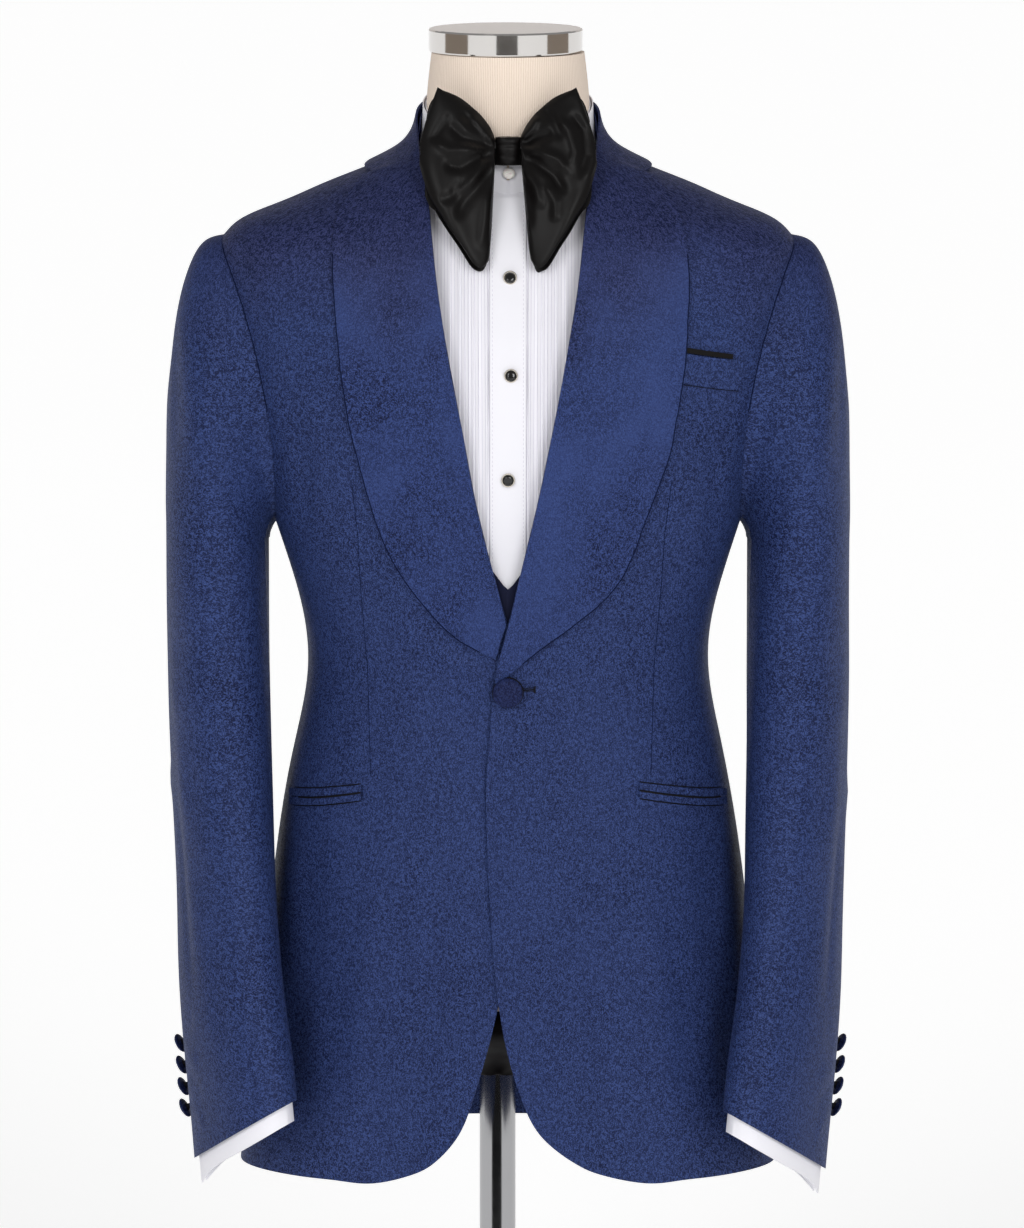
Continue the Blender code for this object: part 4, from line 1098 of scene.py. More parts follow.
    def make(self, palette: Palette) -> dict[str, bpy.types.Object]:
        """Builds all of the jacket's cloth, buttons and sewing.

        Args:
            palette: Finishes.

        Returns:
            The pieces by name.
        """
        made = {}
        for side in Side:
            s = side.sign
            front, back = 45.0 * s, 180.0 - 45.0 * s
            body = dict(axis=BODY_AXIS, uneven=0.5, levels=3)
            pieces = [
                ClothPiece(f"jacket_front_{side.value}", "jacquard", (0.31, 0.76), 0.165,
                           middle=front, creases=self.body_creases(front), **body),
                ClothPiece(f"jacket_back_{side.value}", "jacquard", (0.27, 0.76), 0.172,
                           middle=back, creases=self.body_creases(back), **body),
                ClothPiece(f"shawl_collar_{side.value}", "jacquard_lapel", (0.17, 0.62),
                           0.0385, middle=front, held="folded",
                           creases=self.body_creases(front), **body),
            ]
            for part, flat, area in (("top", (0.235, 0.72), 0.143),
                                     ("under", (0.14, 0.62), 0.057)):
                pieces.append(ClothPiece(
                    f"sleeve_{part}_{side.value}", "jacquard", flat, area, sleeve_axis(side),
                    90.0 * s, 3, creases=self.sleeve_creases(side), uneven=0.5))
            for piece in pieces:
                made[piece.node] = piece.make(palette)
            made |= self.pockets(side, palette)
        made["collar_stand"] = ClothPiece(
            "collar_stand", "jacquard", (0.36, 0.05), 0.0082, BODY_AXIS, 180.0, 2,
            held="folded").make(palette)
        made |= self.sewing(made, palette)
        self.buttons(made, palette)
        return made

    def pockets(self, side: Side, palette: Palette) -> dict[str, bpy.types.Object]:
        """Builds the hip pocket's jets, and the welt on the wearer's left.

        Args:
            side: Wearer's side.
            palette: Finishes.

        Returns:
            The pieces by name.
        """
        middle = 45.0 * side.sign
        small = dict(axis=BODY_AXIS, middle=middle, creases=self.body_creases(middle),
                     uneven=0.5, held="folded")
        rows = [(f"hip_jet_{part}_{side.value}", "jacquard", (0.092, 0.0105), 0.00062)
                for part in ("upper", "lower")]
        if side is Side.LEFT:
            rows += [("breast_welt", "jacquard", (0.058, 0.024), 0.00118),
                     ("breast_pocket_edge", "satin", (0.043, 0.0105), 0.00021)]
        made = {}
        for node, finish, flat, area in rows:
            rest = (f"jacket_front_{side.value}",)
            made[node] = ClothPiece(node, finish, flat, area, levels=3, rests_on=rest,
                                    **small).make(palette)
            if node.startswith("hip_jet") and side is Side.RIGHT:
                cut_off(made[node], self.right_jet_end)
        return made

    def sewing(self, made: dict[str, bpy.types.Object],
               palette: Palette) -> dict[str, bpy.types.Object]:
        """Lays the darts, seam lines and the buttonhole, with dark cords of painted shade in the
        pocket jets, along the darts and armhole seams and in the buttonhole's slit, and of
        painted shadow under the lapels' edges.

        Args:
            made: Pieces made so far.
            palette: Finishes.

        Returns:
            The sewn lines by name.
        """
        fronts = {side.value: [made[f"jacket_front_{side.value}"]] for side in Side}
        left = fronts["left"]
        rows = [(StitchRow(f"{side}_front_dart", path, 0.5, finish="seam", sink=sink),
                 fronts[side]) for side, sink, path in self.darts]
        rows += [
            (StitchRow("welt_lower_seam", ((122.9, 869.8), (165.5, 861.4)), 0.5, sink=0.2), left),
            (StitchRow("welt_outer_seam", ((166.6, 862.0), (169.0, 884.0)), 0.5, sink=0.2), left),
        ]
        for side in Side:
            ground = [made[f"{part}_{side.value}"]
                      for part in ("jacket_front", "hip_jet_upper", "hip_jet_lower")]
            # dark cords of painted shade: in the pocket's opening between the jets, and along the
            # jets' outer edges
            for strip, edge, thick in (("hip_jet_upper", "top", 0.9),
                                       ("hip_jet_upper", "bottom", 1.4),
                                       ("hip_jet_lower", "bottom", 1.0)):
                line = edge_line(made[f"{strip}_{side.value}"], edge == "top")
                rows.append((StitchRow(f"{strip}_{edge}_shade_{side.value}", line, thick,
                                       sink=thick * 0.4), ground))
        # painted shadow under each lapel's edge, and painted shade along each armhole seam
        for name, inner, outer, low in (
                ("lapel_edge_shade", "shawl_collar", "jacket_front", 653.0),
                ("armhole_seam", "jacket_front", "sleeve_top", 845.0)):
            for side in Side:
                pair = [made[f"{part}_{side.value}"] for part in (inner, outer)]
                rows.append((StitchRow(f"{name}_{side.value}",
                                       meeting(*pair, low, self.shoulder, side), 0.8,
                                       finish="seam", sink=0.3), pair))
        rows += [
            (StitchRow("buttonhole_upper_lip", ((9.0, 650.2), (19.0, 650.9)), 1.0, 0.5,
                       sink=0.2), left),
            (StitchRow("buttonhole_lower_lip", ((9.0, 647.9), (19.2, 648.6)), 1.0, 0.5,
                       sink=0.2), left),
            # painted shade in the buttonhole's slit, between its lips
            (StitchRow("buttonhole_slit_shade", ((9.0, 649.0), (19.0, 649.7)), 1.0, sink=0.5), left),
            (StitchRow("buttonhole_bar", ((19.2, 647.2), (19.5, 652.2)), 1.1, sink=0.15), left),
        ]
        return {row.name: row.make(ground, palette) for row, ground in rows}

    def buttons(self, made: dict[str, bpy.types.Object], palette: Palette) -> None:
        """Rounds the covered buttons over their moulds and sews them on, with a dark cord round
        the front button as its rim and painted shadow.

        Args:
            made: Pieces made so far.
            palette: Finishes.
        """
        CoveredButton("front_button").make(palette)
        low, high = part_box("front_button")
        # a dark cord round the front button's back edge: partly its rim, partly painted shadow
        # round the button
        cord = ring("front_button_edge_shade_cord", "front_button", (high.x - low.x) * 0.5 + 0.1 * MM,
                    self.button_shade_cord * MM, 0.7)
        finish_piece(cord, palette, "thread")
        for side in Side:
            sleeve = trees_of([made[f"sleeve_{part}_{side.value}"] for part in ("top", "under")])
            for i in range(1, 5):
                button = CoveredButton(f"sleeve_button_{side.value}_{i}")
                button.shank(button.make(palette), sleeve, palette)


def ring(name: str, node: str, radius: float, wire: float, deep: float, steps: int = 64,
         squeeze: float = 1.0) -> bpy.types.Object:
    """Bends a wire into an upright ring round a node.

    Args:
        name: Name of the ring.
        node: CAD node that it lies round.
        radius: Radius of the ring in metres.
        wire: Radius of the wire in metres.
        deep: Share of the way from the node's front to its back.
        steps: Sides of the ring.
        squeeze: Factor on its depth.

    Returns:
        The ring.
    """
    low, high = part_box(node)
    bpy.ops.object.select_all(action="DESELECT")
    bpy.ops.mesh.primitive_torus_add(
        major_segments=steps, minor_segments=10, major_radius=radius, minor_radius=wire,
        rotation=(math.radians(90.0), 0, 0),
        location=((low.x + high.x) / 2, (1 - deep) * low.y + deep * high.y,
                  (low.z + high.z) / 2))
    piece = take_new(name)
    bpy.ops.object.mode_set(mode="EDIT")
    bpy.ops.mesh.select_all(action="SELECT")
    bpy.ops.transform.resize(value=(1.0, squeeze, 1.0))
    bpy.ops.object.mode_set(mode="OBJECT")
    return piece


def rounded_copy(node: str, name: str, levels: int, narrow: float = 1.0) -> bpy.types.Object:
    """Copies a small hard node, rounds it and keeps its size.

    Args:
        node: CAD node.
        name: Name of the new piece.
        levels: Levels of the subdivision.
        narrow: Factor on its width and height.

    Returns:
        The rounded piece, with its place on its own front as cloth place.
    """
    piece = copy_of_node(node, name)
    modifier = piece.modifiers.new("round", "SUBSURF")
    modifier.levels = modifier.render_levels = levels
    apply_modifier(piece, modifier)
    low, high = (np.array(corner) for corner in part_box(node))
    middle = (low + high) / 2
    points = vertices_of(piece.data)
    least, most = points.min(0), points.max(0)
    points = low + (points - least) / (most - least) * (high - low)
    points[:, [0, 2]] = middle[[0, 2]] + narrow * (points - middle)[:, [0, 2]]
    set_vertices(piece.data, points)
    front_uv(piece)
    return piece


@dataclass(frozen=True)
class CoveredButton:
    """Cloth-covered button on a thread stem; sizes are in millimetres."""

    node: str
    gathers: int = 22            # puckers of the cloth round the rim
    gather: float = 0.4          # depth of a pucker
    spoke: float = 7.5           # degrees between two places at which its outline is read
    stem: float = 0.42           # radius of the thread stem, as a share of the button's
    wound: float = 0.85          # radius of the wound shank
    above: float = 3.2           # how far above the button's middle the shank is sewn on
    bite: float = 0.6            # how deep it goes into the sleeve

    def make(self, palette: Palette) -> bpy.types.Object:
        """Makes the button quite round, gathers its cloth and dresses its stem.

        Args:
            palette: Finishes.

        Returns:
            The button.
        """
        piece = rounded_copy(self.node, f"{self.node}_covered", 3)
        points = vertices_of(piece.data)
        centre = points.mean(0)
        axis = np.linalg.svd(points - centre)[2][2]
        across = np.cross(axis, (0.0, 0.0, 1.0))
        across /= np.linalg.norm(across)
        away = points - centre
        radial = away - np.outer(away @ axis, axis)
        reach = np.linalg.norm(radial, axis=1)
        turn = np.arctan2(away @ across, away @ np.cross(across, axis))
        marks = np.radians(np.arange(-180.0, 180.0, self.spoke))
        near = 0.1                                          # radians
        outline = np.array([reach[np.abs(np.angle(np.exp(1j * (turn - mark)))) < near].max()
                            for mark in marks])
        grow = outline.max() / np.interp(turn, marks, outline, period=math.tau)
        points += radial * (grow - 1.0)[:, None]            # the mould is round
        reach = reach * grow
        rim = np.clip(reach / reach.max() * 4.0 - 3.0, 0.0, 1.0)   # its outer quarter
        pucker = self.gather * MM * np.sin(turn * self.gathers) * rim * (1.0 - rim)
        points += axis * pucker[:, None]
        set_vertices(piece.data, points)
        finish_piece(piece, palette, "jacquard_shaded_button", (self.node,))
        piece.data.materials.append(palette.get("thread"))
        stem = reach < reach.max() * self.stem
        outwards = np.sign((axis @ (centre - np.array((0.0, 0.0, centre[2])))) or 1.0)
        behind = (away @ axis) * outwards < 0
        for face in piece.data.polygons:
            spots = list(face.vertices)
            if (stem & behind)[spots].all():
                face.material_index = 1
        return piece

    def shank(self, button: bpy.types.Object, sleeve: list[BVHTree], palette: Palette) -> None:
        """Winds the thread shank from the button's back to the sleeve, a little above it.

        Args:
            button: The made button.
            sleeve: Search trees of the sleeve's surfaces.
            palette: Finishes.
        """
        middle = Vector(vertices_of(button.data).mean(0))
        start = middle + Vector((0.0, 0.0, 0.5 * MM))
        high = middle + Vector((0.0, 0.0, self.above * MM))
        near = min((tree.find_nearest(high) for tree in sleeve), key=lambda hit: hit[3])
        end = near[0] - near[1] * self.bite * MM
        way = end - start
        bpy.ops.object.select_all(action="DESELECT")
        bpy.ops.mesh.primitive_cylinder_add(
            vertices=10, radius=self.wound * MM, depth=way.length, location=(start + end) / 2,
            rotation=way.to_track_quat("Z", "Y").to_euler())
        bpy.ops.object.mode_set(mode="EDIT")
        bpy.ops.mesh.select_all(action="SELECT")
        bpy.ops.mesh.subdivide(number_cuts=2)
        bpy.ops.object.mode_set(mode="OBJECT")
        finish_piece(take_new(f"{button.name}_shank"), palette, "thread")


# ------------------------------------------------------- waistcoat and shirt
@dataclass
class Waistcoat:
    """Dark waistcoat, of which the V and the skirt's inside show."""

    overlap: float = 1.5         # how far each front's edge laps over the middle
    over: float = 0.6            # how far the left edge lies in front of the right one

    creases: tuple[Crease, ...] = (
        Crease(((-30.0, 690.0), (-20.0, 640.0), (-30.0, 560.0)), 14.0, -0.8),
        Crease(((30.0, 690.0), (22.0, 640.0), (30.0, 560.0)), 14.0, -0.8),
    )

    def make(self, palette: Palette) -> None:
        """Builds the fronts and the back.

        Args:
            palette: Finishes.
        """
        for side in Side:
            middle = 45.0 * side.sign
            front = ClothPiece(f"waistcoat_front_{side.value}", "worsted", (0.24, 0.56), 0.0925,
                               BODY_AXIS, middle, 2, creases=self.creases,
                               straight=True).make(palette)
            points = vertices_of(front.data)
            edge = np.abs(points[:, 0]) < 2.0 * MM       # its front edge is at the middle
            points[edge, 0] -= side.sign * self.overlap * MM
            points[edge, 1] -= self.over * MM * (side is Side.LEFT)
            set_vertices(front.data, points)
        ClothPiece("waistcoat_back", "worsted", (0.46, 0.56), 0.215, BODY_AXIS, 180.0,
                   2).make(palette)


@dataclass
class Shirt:
    """White dress shirt with knife pleats, studs and French cuffs."""

    stud_rim: float = 4.4        # radius of the rim's wire ring in millimetres
    rim_wire: float = 0.7
    stone: float = 0.84          # the stone's share of the stud's width
    rim_depth: float = 1.25      # the rim's depth as a multiple of its wire
    pleat: float = 2.4           # distance from one pleat's edge to the next
    pleats: int = 17
    wall: float = 0.3            # thickness of the stand's under end
    behind: float = 1.9          # how far it lies behind the pieces over it

    def make(self, palette: Palette) -> None:
        """Builds the shirt's cloth, sewing, studs and button, with grey lines of painted shade
        along the pleats' folds.

        Args:
            palette: Finishes.
        """
        fronts = []
        for side in Side:
            s = side.sign
            fronts.append(ClothPiece(f"shirt_front_{side.value}", "poplin", (0.24, 0.60), 0.119,
                                     BODY_AXIS, 45.0 * s, 2, straight=True).make(palette))
            ClothPiece(f"shirt_sleeve_{side.value}", "poplin", (0.30, 0.62), 0.153,
                       sleeve_axis(side), 90.0 * s, 2).make(palette)
            ClothPiece(f"shirt_cuff_{side.value}", "poplin", (0.29, 0.065), 0.0139,
                       sleeve_axis(side), 60.0 * s, 3, held="folded",
                       rests_on=(f"sleeve_top_{side.value}",)).make(palette)
        band = ClothPiece("shirt_placket", "poplin", (0.028, 0.57), 0.0153, BODY_AXIS, 0.0, 3,
                          held="folded").make(palette)
        ClothPiece("shirt_back", "poplin", (0.50, 0.60), 0.238, BODY_AXIS, 180.0,
                   2).make(palette)
        neck = dict(finish="poplin", axis=BODY_AXIS, middle=180.0, held="folded")
        stand = ClothPiece("shirt_collar_stand", flat=(0.40, 0.055), area=0.0162, levels=3,
                           **neck).make(palette)
        ClothPiece("shirt_collar_leaf", flat=(0.34, 0.045), area=0.0101, levels=3,
                   **neck).make(palette)
        white = dict(finish="white_thread_and_pleat_shade")
        for side, front in zip(Side, fronts):
            s = side.sign
            # grey lines of painted shade along the pleats' folds
            StitchRow(f"pleat_edges_{side.value}", ((14.6 * s, 1000.0), (13.0 * s, 735.0)), 0.34,
                      sink=0.14, beside=tuple(s * self.pleat * i for i in range(self.pleats)),
                      **white).make([front], palette)
        for side in Side:
            s = side.sign
            StitchRow(f"placket_{side.value}_stitch", ((11.2 * s, 995.0), (11.0 * s, 730.0)),
                      0.3, 1.6, sink=0.12, **white).make([band], palette)
        self.underlap([stand, band], palette)
        self.jewellery(palette)

    def jewellery(self, palette: Palette) -> None:
        """Rounds the studs, sets their rims, and rounds the pearl button.

        Args:
            palette: Finishes.
        """
        for i in range(1, 4):
            node = f"shirt_stud_{i}"
            finish_piece(rounded_copy(node, f"{node}_stone", 3, self.stone), palette, "onyx",
                         (node,))
            rim = ring(f"{node}_rim", node, self.stud_rim * MM, self.rim_wire * MM, 0.55, 40,
                       self.rim_depth)
            finish_piece(rim, palette, "rim")
        finish_piece(rounded_copy("pearl_button", "pearl_button_polished", 3), palette, "pearl",
                     ("pearl_button",))

    def underlap(self, ground: list[bpy.types.Object], palette: Palette) -> None:
        """Lays the stand's under end behind its opening and the placket's top.

        Args:
            ground: Pieces that lie over it.
            palette: Finishes.
        """
        trees = trees_of(ground)
        wide, tall = 15, 16
        across, up = (grid.ravel() for grid in np.meshgrid(np.linspace(-14.0, 14.0, wide),
                                                           np.linspace(984.0, 1033.0, tall)))
        terms = np.stack([np.ones(len(up)), up - 1000, (up - 1000) ** 2, across ** 2], 1)
        nothing = 1.0
        seen = np.array([min((hit.y for hit in (look_back(tree, x * MM, z * MM)[0]
                                                for tree in trees) if hit is not None),
                             default=nothing) for x, z in zip(across, up)])
        front = seen < -0.02                 # the back of the neck isn't meant
        curve = np.linalg.lstsq(terms[front], seen[front], rcond=None)[0]
        depth = terms @ curve + self.behind * MM
        shape = bmesh.new()
        spots = [shape.verts.new((x * MM, y, z * MM)) for x, y, z in zip(across, depth, up)]
        rows = [spots[i:i + wide] for i in range(0, len(spots), wide)]
        for low, high in zip(rows, rows[1:]):
            for i in range(wide - 1):
                shape.faces.new([low[i], low[i + 1], high[i + 1], high[i]])
        piece = piece_of(shape, "shirt_stand_underlap")
        wall = piece.modifiers.new("wall", "SOLIDIFY")
        wall.thickness = self.wall * MM
        apply_modifier(piece, wall)
        front_uv(piece)
        finish_piece(piece, palette, "poplin")


# -------------------------------------------------------------------- bow tie
@dataclass
class BowTie:
    """Large butterfly bow of soft satin, tied round the collar.

    The places of a wing's folds are distances from the middle line and heights, in
    millimetres, and those of the knot's folds are heights from its middle.
    """

    lift: float = 6.5            # how far the knot pulls the band up behind it
    most: float = 3.4            # depth that no place of a wing passes
    ends: float = 0.22           # share of a fold over which it fades in, and out
    pull: float = 16.0           # half width of the band's lifted place
    knot_folds: tuple[tuple[float, float, float, float], ...] = (
        (4.5, 1.6, 0.9, 0.0), (-3.5, 1.8, 0.4, 160.0))   # height, width, depth, lean

    folds: dict[Side, tuple[Crease, ...]] = field(default_factory=lambda: {
        Side.RIGHT: (
            Crease(((9.0, 1036.0), (20.0, 1040.0), (33.0, 1045.0), (44.0, 1056.0)), 3.2, -3.6),
            Crease(((9.0, 1039.0), (17.0, 1047.0), (27.0, 1060.0)), 3.0, 2.6),
            Crease(((12.0, 1040.0), (22.0, 1051.0), (36.0, 1064.0)), 2.8, -2.0),
            Crease(((9.0, 1032.0), (20.0, 1031.0), (34.0, 1024.0), (48.0, 1026.0)), 3.0, -3.8),
            Crease(((10.0, 1034.0), (26.0, 1037.0), (42.0, 1036.0), (56.0, 1044.0)), 3.4, 2.8),
            Crease(((9.0, 1029.0), (18.0, 1024.0), (28.0, 1012.0), (40.0, 1006.0)), 3.2, 2.8),
            Crease(((11.0, 1024.0), (20.0, 1012.0), (32.0, 998.0), (38.0, 986.0)), 3.6, -2.6),
            Crease(((30.0, 1016.0), (40.0, 1004.0), (50.0, 1000.0)), 3.0, -2.2),
            Crease(((40.0, 1062.0), (48.0, 1052.0), (55.0, 1040.0)), 3.0, -2.0),
            Crease(((14.0, 1010.0), (16.0, 990.0), (20.0, 965.0)), 4.0, 1.6),
        ),
        Side.LEFT: (
            Crease(((9.0, 1034.0), (22.0, 1035.0), (36.0, 1030.0), (46.0, 1018.0)), 3.4, 3.2),
            Crease(((9.0, 1038.0), (20.0, 1044.0), (34.0, 1048.0)), 2.8, -3.2),
            Crease(((9.0, 1041.0), (17.0, 1051.0), (22.0, 1060.0)), 3.0, 2.6),
            Crease(((9.0, 1030.0), (20.0, 1027.0), (33.0, 1018.0), (42.0, 1004.0)), 3.2, -3.8),
            Crease(((34.0, 1060.0), (44.0, 1050.0), (48.0, 1036.0), (44.0, 1022.0)), 3.2, 2.6),
            Crease(((44.0, 1064.0), (54.0, 1050.0), (56.0, 1032.0), (50.0, 1014.0)), 3.0, -3.0),
            Crease(((10.0, 1024.0), (20.0, 1010.0), (24.0, 994.0)), 3.4, 2.4),
            Crease(((26.0, 1014.0), (34.0, 1000.0), (34.0, 984.0)), 3.2, 2.4),
            Crease(((12.0, 1018.0), (15.0, 1000.0), (16.0, 980.0)), 3.0, -1.8),
            Crease(((26.0, 1066.0), (34.0, 1056.0), (38.0, 1042.0)), 2.8, -2.0),
        ),
    })

    def wing(self, side: Side, palette: Palette) -> bpy.types.Object:
        """Shapes a wing's folds over its plump form.

        Args:
            side: Wearer's side.
            palette: Finishes.

        Returns:
            The wing.
        """
        node = f"bow_wing_{side.value}"
        piece = copy_of_node(node, f"{node}_satin")
        crease_rims(piece, 55.0)
        subdivide_through(piece, 3)
        points = vertices_of(piece.data)
        seen = np.stack([points[:, 0] * side.sign, points[:, 2]], 1) * 1000
        normals = np.zeros(len(piece.data.vertices) * 3, np.float32)
        piece.data.vertices.foreach_get("normal", normals)
        facing = np.clip(-normals.reshape(-1, 3)[:, 1] * 1.6, 0.0, 1.0)   # 0 on its back
        move = np.zeros(len(points))
        for fold in self.folds[side]:
            gap, share = along(np.array(fold.path), seen)
            move += fold.depth * np.exp(-(gap / fold.width) ** 2) * fade(share, self.ends)
        points[:, 1] -= np.clip(move, -self.most, self.most) * facing * MM
        set_vertices(piece.data, points)
        front_uv(piece)
        finish_piece(piece, palette, "satin", (node,), 60.0)
        return piece

    def make(self, palette: Palette) -> None:
        """Builds wings, rear loops, knot and band.

        Args:
            palette: Finishes.
        """
        for side in Side:
            self.wing(side, palette)
            ClothPiece(f"bow_rear_{side.value}", "satin", (0.06, 0.125), 0.0049, BODY_AXIS,
                       25.0 * side.sign, 3, held="folded",
                       rests_on=(f"bow_wing_{side.value}",)).make(palette)
        knot = ClothPiece("bow_knot", "satin", (0.0, 0.0), 0.0, BODY_AXIS, 0.0, 4,
                          rim_angle=70.0, padded=0.5).make(palette)
        points = vertices_of(knot.data)
        height = points[:, 2] * 1000 - float(points[:, 2].mean()) * 1000
        front = points[:, 1] < -0.060        # the knot's front half, in metres
        for place, width, depth, lean in self.knot_folds:
            gap = height - place + points[:, 0] * lean
            points[:, 1] += depth * MM * np.exp(-(gap / width) ** 2) * front
        set_vertices(knot.data, points)
        band = ClothPiece("bow_tie_band", "satin", (0.40, 0.018), 0.0055, BODY_AXIS, 180.0, 3,
                          held="stretched", rests_on=("shirt_collar_stand",)).make(palette)
        points = vertices_of(band.data)
        under = (points[:, 1] < -0.03) * np.exp(-(points[:, 0] / (self.pull * MM)) ** 2)
        points[:, 2] += self.lift * MM * under
        set_vertices(band.data, points)


# ----------------------------------------------------------------- dress form
@dataclass
class DressForm:
    """Jersey-covered form with a steel cap and pole on a steel base."""

    sides: int = 160             # of a turned part
    cap_rim: float = 1.3         # width of the neck cap's broken edges in millimetres
    flat_angle: float = 15.0     # degrees over which a turned part's edges stay sharp

    def turned(self, node: str, rim: float) -> bpy.types.Object:
        """Turns a round metal part afresh at its node's size, for clean reflections.

        Args:
            node: CAD node, an upright round.
            rim: Width of its broken edges in millimetres, or 0.

        Returns:
            The turned piece.
        """
        low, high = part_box(node)
        middle = (low + high) / 2
        bpy.ops.object.select_all(action="DESELECT")
        bpy.ops.mesh.primitive_circle_add(vertices=self.sides, radius=(high.x - low.x) / 2,
                                          fill_type="NGON", location=(*middle.xy, low.z))
        bpy.ops.object.mode_set(mode="EDIT")
        bpy.ops.mesh.select_all(action="SELECT")
        bpy.ops.mesh.extrude_region_move(
            TRANSFORM_OT_translate={"value": (0.0, 0.0, high.z - low.z)})
        bpy.ops.mesh.select_all(action="SELECT")
        bpy.ops.mesh.normals_make_consistent(inside=False)
        bpy.ops.object.mode_set(mode="OBJECT")
        piece = take_new(f"{node}_turned")
        if rim:
            modifier = piece.modifiers.new("rim", "BEVEL")
            modifier.width = rim * MM
            modifier.segments = 2
            apply_modifier(piece, modifier)
        return piece

    def make(self, palette: Palette) -> None:
        """Smooths torso and lower cap, turns neck cap and pole, and dresses the base.

        Args:
            palette: Finishes.
        """
        pieces = []
        for node, finish in (("form_torso", "jersey"), ("form_base_cap", "moulding")):
            piece = copy_of_node(node, f"{node}_smooth")
            crease_rims(piece, 60.0)
            subdivide_through(piece, 2)
            pieces.append((node, piece, finish, 40.0))
        for node, finish, rim in (("form_neck_cap", "chrome", self.cap_rim),
                                  ("stand_pole", "tube", 0.0)):
            pieces.append((node, self.turned(node, rim), finish, self.flat_angle))
        for node, piece, finish, smooth in pieces:
            places, _ = BODY_AXIS.places(vertices_of(piece.data), 0.0)
            wrap_uv(piece.data, places[:, 0], places[:, 1], 58.0)
            finish_piece(piece, palette, finish, (node,), smooth)
        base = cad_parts["stand_base"]
        base.data.materials.clear()
        base.data.materials.append(palette.get("steel"))
        only(base)
        bpy.ops.object.shade_smooth_by_angle(angle=math.radians(35.0))
        log.info("stand_base keeps its shape")


# --------------------------------------------------------------------- studio
def stage_material(name: str, colour: str, roughness: float,
                   glow: float = 0.0) -> bpy.types.Material:
    """Makes the plain material of a studio piece.

    Args:
        name: Name of the material.
        colour: sRGB hex colour.
        roughness: Roughness of the surface.
        glow: Light that it gives off by itself.

    Returns:
        The material.
    """
    made = bpy.data.materials.new(name)
    made.use_nodes = True
    shader = made.node_tree.nodes["Principled BSDF"]
    shader.inputs["Base Color"].default_value = linear(colour)
    shader.inputs["Roughness"].default_value = roughness
    shader.inputs["Emission Color"].default_value = linear("ffffff")
    shader.inputs["Emission Strength"].default_value = glow
    return made


@dataclass(frozen=True)
class Card:
    """Grey felt card that only polished metal sees, upright and facing the form."""

    name: str
    azimuth: float               # degrees from straight in front, to the wearer's left
    distance: float
    width: float
    low: float
    high: float
    colour: str = "a09386"

    def make(self) -> None:
        """Stands the card up in the studio."""
        turn = math.radians(self.azimuth)
        bpy.ops.object.select_all(action="DESELECT")
        bpy.ops.mesh.primitive_plane_add(
            size=1.0, rotation=(math.radians(90.0), 0.0, turn),
            location=(self.distance * math.sin(turn), -self.distance * math.cos(turn),
                      (self.low + self.high) / 2))
        bpy.context.object.scale = (self.width, self.high - self.low, 1.0)
        card = take_new(self.name)
        card.data.materials.append(stage_material(f"{self.name}_felt", self.colour, 1.0))
        card.visible_camera = card.visible_diffuse = card.visible_shadow = False
        card.visible_transmission = card.visible_volume_scatter = False


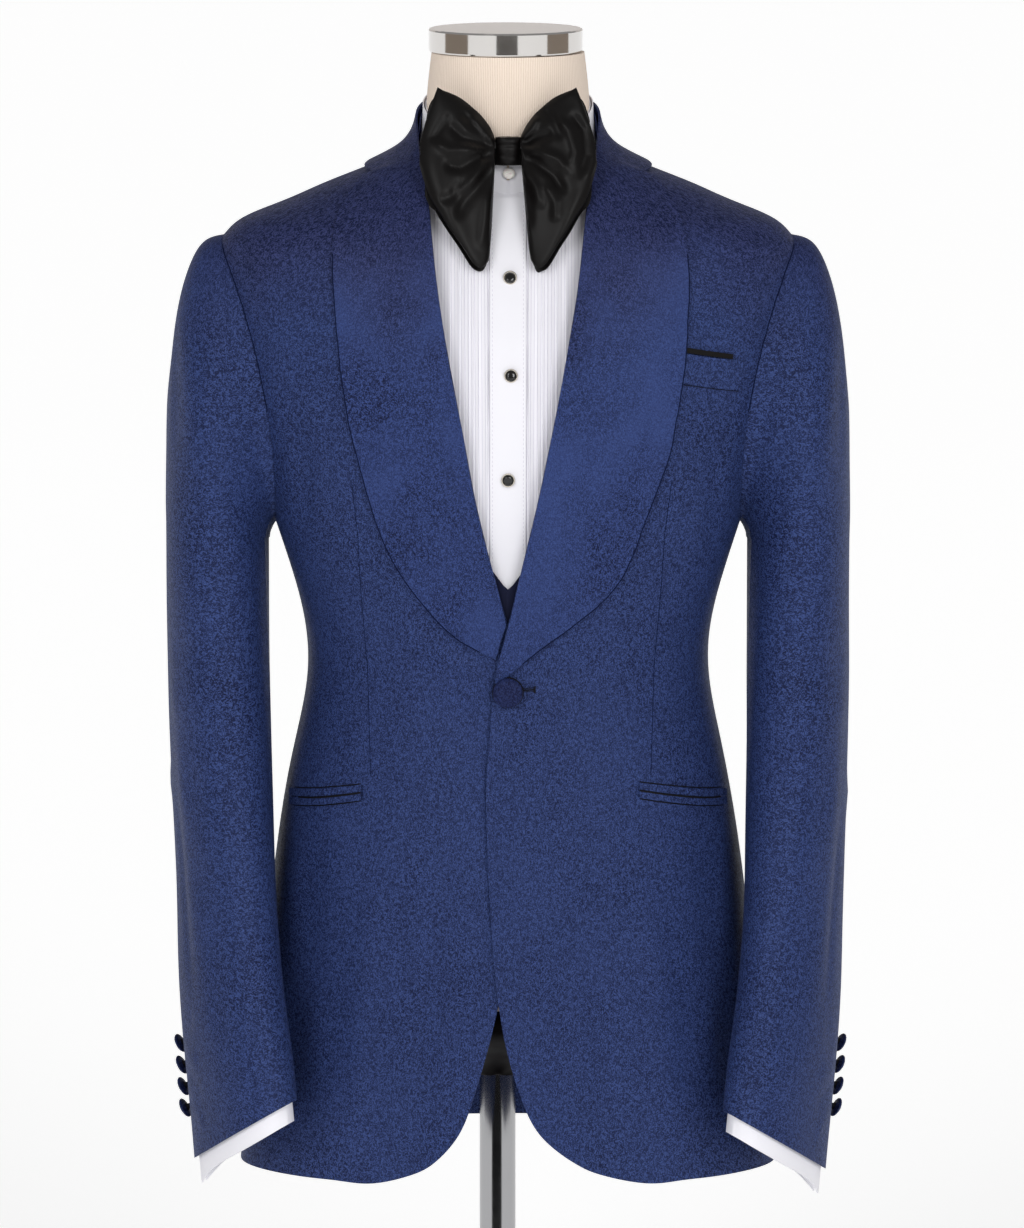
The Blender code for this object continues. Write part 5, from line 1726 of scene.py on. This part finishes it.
@dataclass
class Studio:
    """Pale floor and backdrop, two soft lamps high in front, cards and a camera."""

    camera_place: tuple[float, float, float] = (0.0029, -7.0, 1.66)
    aim: tuple[float, float, float] = (0.0029, 0.0, 0.689)
    focal: float = 283.8
    sky: float = 0.30
    glow: float = 0.55
    backdrop_glow: float = 0.97
    lamp_angle: float = 26.0     # degrees that each lamp is wide, which softens its shadows
    lamps: tuple[tuple[float, float, float], ...] = (
        (-26.0, 24.0, 0.84), (24.0, 20.0, 0.96))         # azimuth, elevation, power
    cards: tuple[Card, ...] = (
        Card("front_card_low", -6.0, 0.55, 0.66, 0.0, 0.34, "050505"),
        Card("front_card_high", 2.1, 6.0, 3.4, 0.47, 0.86, "4a433d"),
        Card("back_card", 180.0, 7.0, 14.0, 0.95, 4.5, "c6c1be"),
        Card("side_card_right", -80.0, 3.2, 2.6, 0.35, 1.05),
        Card("side_card_left", 86.4, 3.2, 2.55, 0.35, 1.05),
    )

    def papers(self) -> None:
        """Lays the floor paper and hangs white paper far behind it, which lights nothing."""
        bpy.ops.object.select_all(action="DESELECT")
        bpy.ops.mesh.primitive_plane_add(size=80.0)
        floor = take_new("studio_floor")
        floor.data.materials.append(stage_material("studio_paper", "ededed", 0.95, self.glow))
        bpy.ops.object.select_all(action="DESELECT")
        bpy.ops.mesh.primitive_cylinder_add(vertices=96, radius=39.0, depth=60.0,
                                            end_fill_type="NOTHING", location=(0, 0, 29.9))
        wall = take_new("studio_backdrop")
        wall.data.materials.append(
            stage_material("backdrop_paper", "000000", 0.5, self.backdrop_glow))
        wall.visible_diffuse = wall.visible_glossy = wall.visible_shadow = False

    def lights(self) -> None:
        """Sets the sky and the two lamps."""
        world = bpy.data.worlds.new("studio_air")
        bpy.context.scene.world = world
        world.use_nodes = True
        background = world.node_tree.nodes["Background"]
        background.inputs["Color"].default_value = linear("ffffff")
        background.inputs["Strength"].default_value = self.sky
        for i, (azimuth, elevation, power) in enumerate(self.lamps):
            lamp = bpy.data.lights.new(f"soft_lamp_{i + 1}", "SUN")
            lamp.energy, lamp.angle = power, math.radians(self.lamp_angle)
            high = bpy.data.objects.new(lamp.name, lamp)
            high.rotation_euler = (math.radians(90.0 - elevation), 0, math.radians(azimuth))
            bpy.context.scene.collection.objects.link(high)

    def camera(self) -> None:
        """Sets the camera, far off and a little above the chest."""
        lens = bpy.data.cameras.new("front_camera")
        lens.sensor_fit, lens.sensor_height, lens.lens = "VERTICAL", 36.0, self.focal
        lens.clip_end = 200.0
        camera = bpy.data.objects.new("front_camera", lens)
        camera.location = self.camera_place
        camera.rotation_euler = (Vector(self.aim) - Vector(self.camera_place)).to_track_quat(
            "-Z", "Y").to_euler()
        bpy.context.scene.collection.objects.link(camera)
        bpy.context.scene.camera = camera
        bpy.context.scene.view_settings.view_transform = "Standard"

    def make(self) -> None:
        """Sets papers, lights, cards and camera."""
        self.papers()
        self.lights()
        for card in self.cards:
            card.make()
        self.camera()


def main() -> None:
    """Builds the studio, the form and the garments from the inside out."""
    Studio().make()
    palette = Palette()
    for part in (DressForm(), Shirt(), Waistcoat(), BowTie(), Jacket()):
        part.make(palette)
        log.info("%s done", type(part).__name__)


if __name__ == "__main__":
    main()
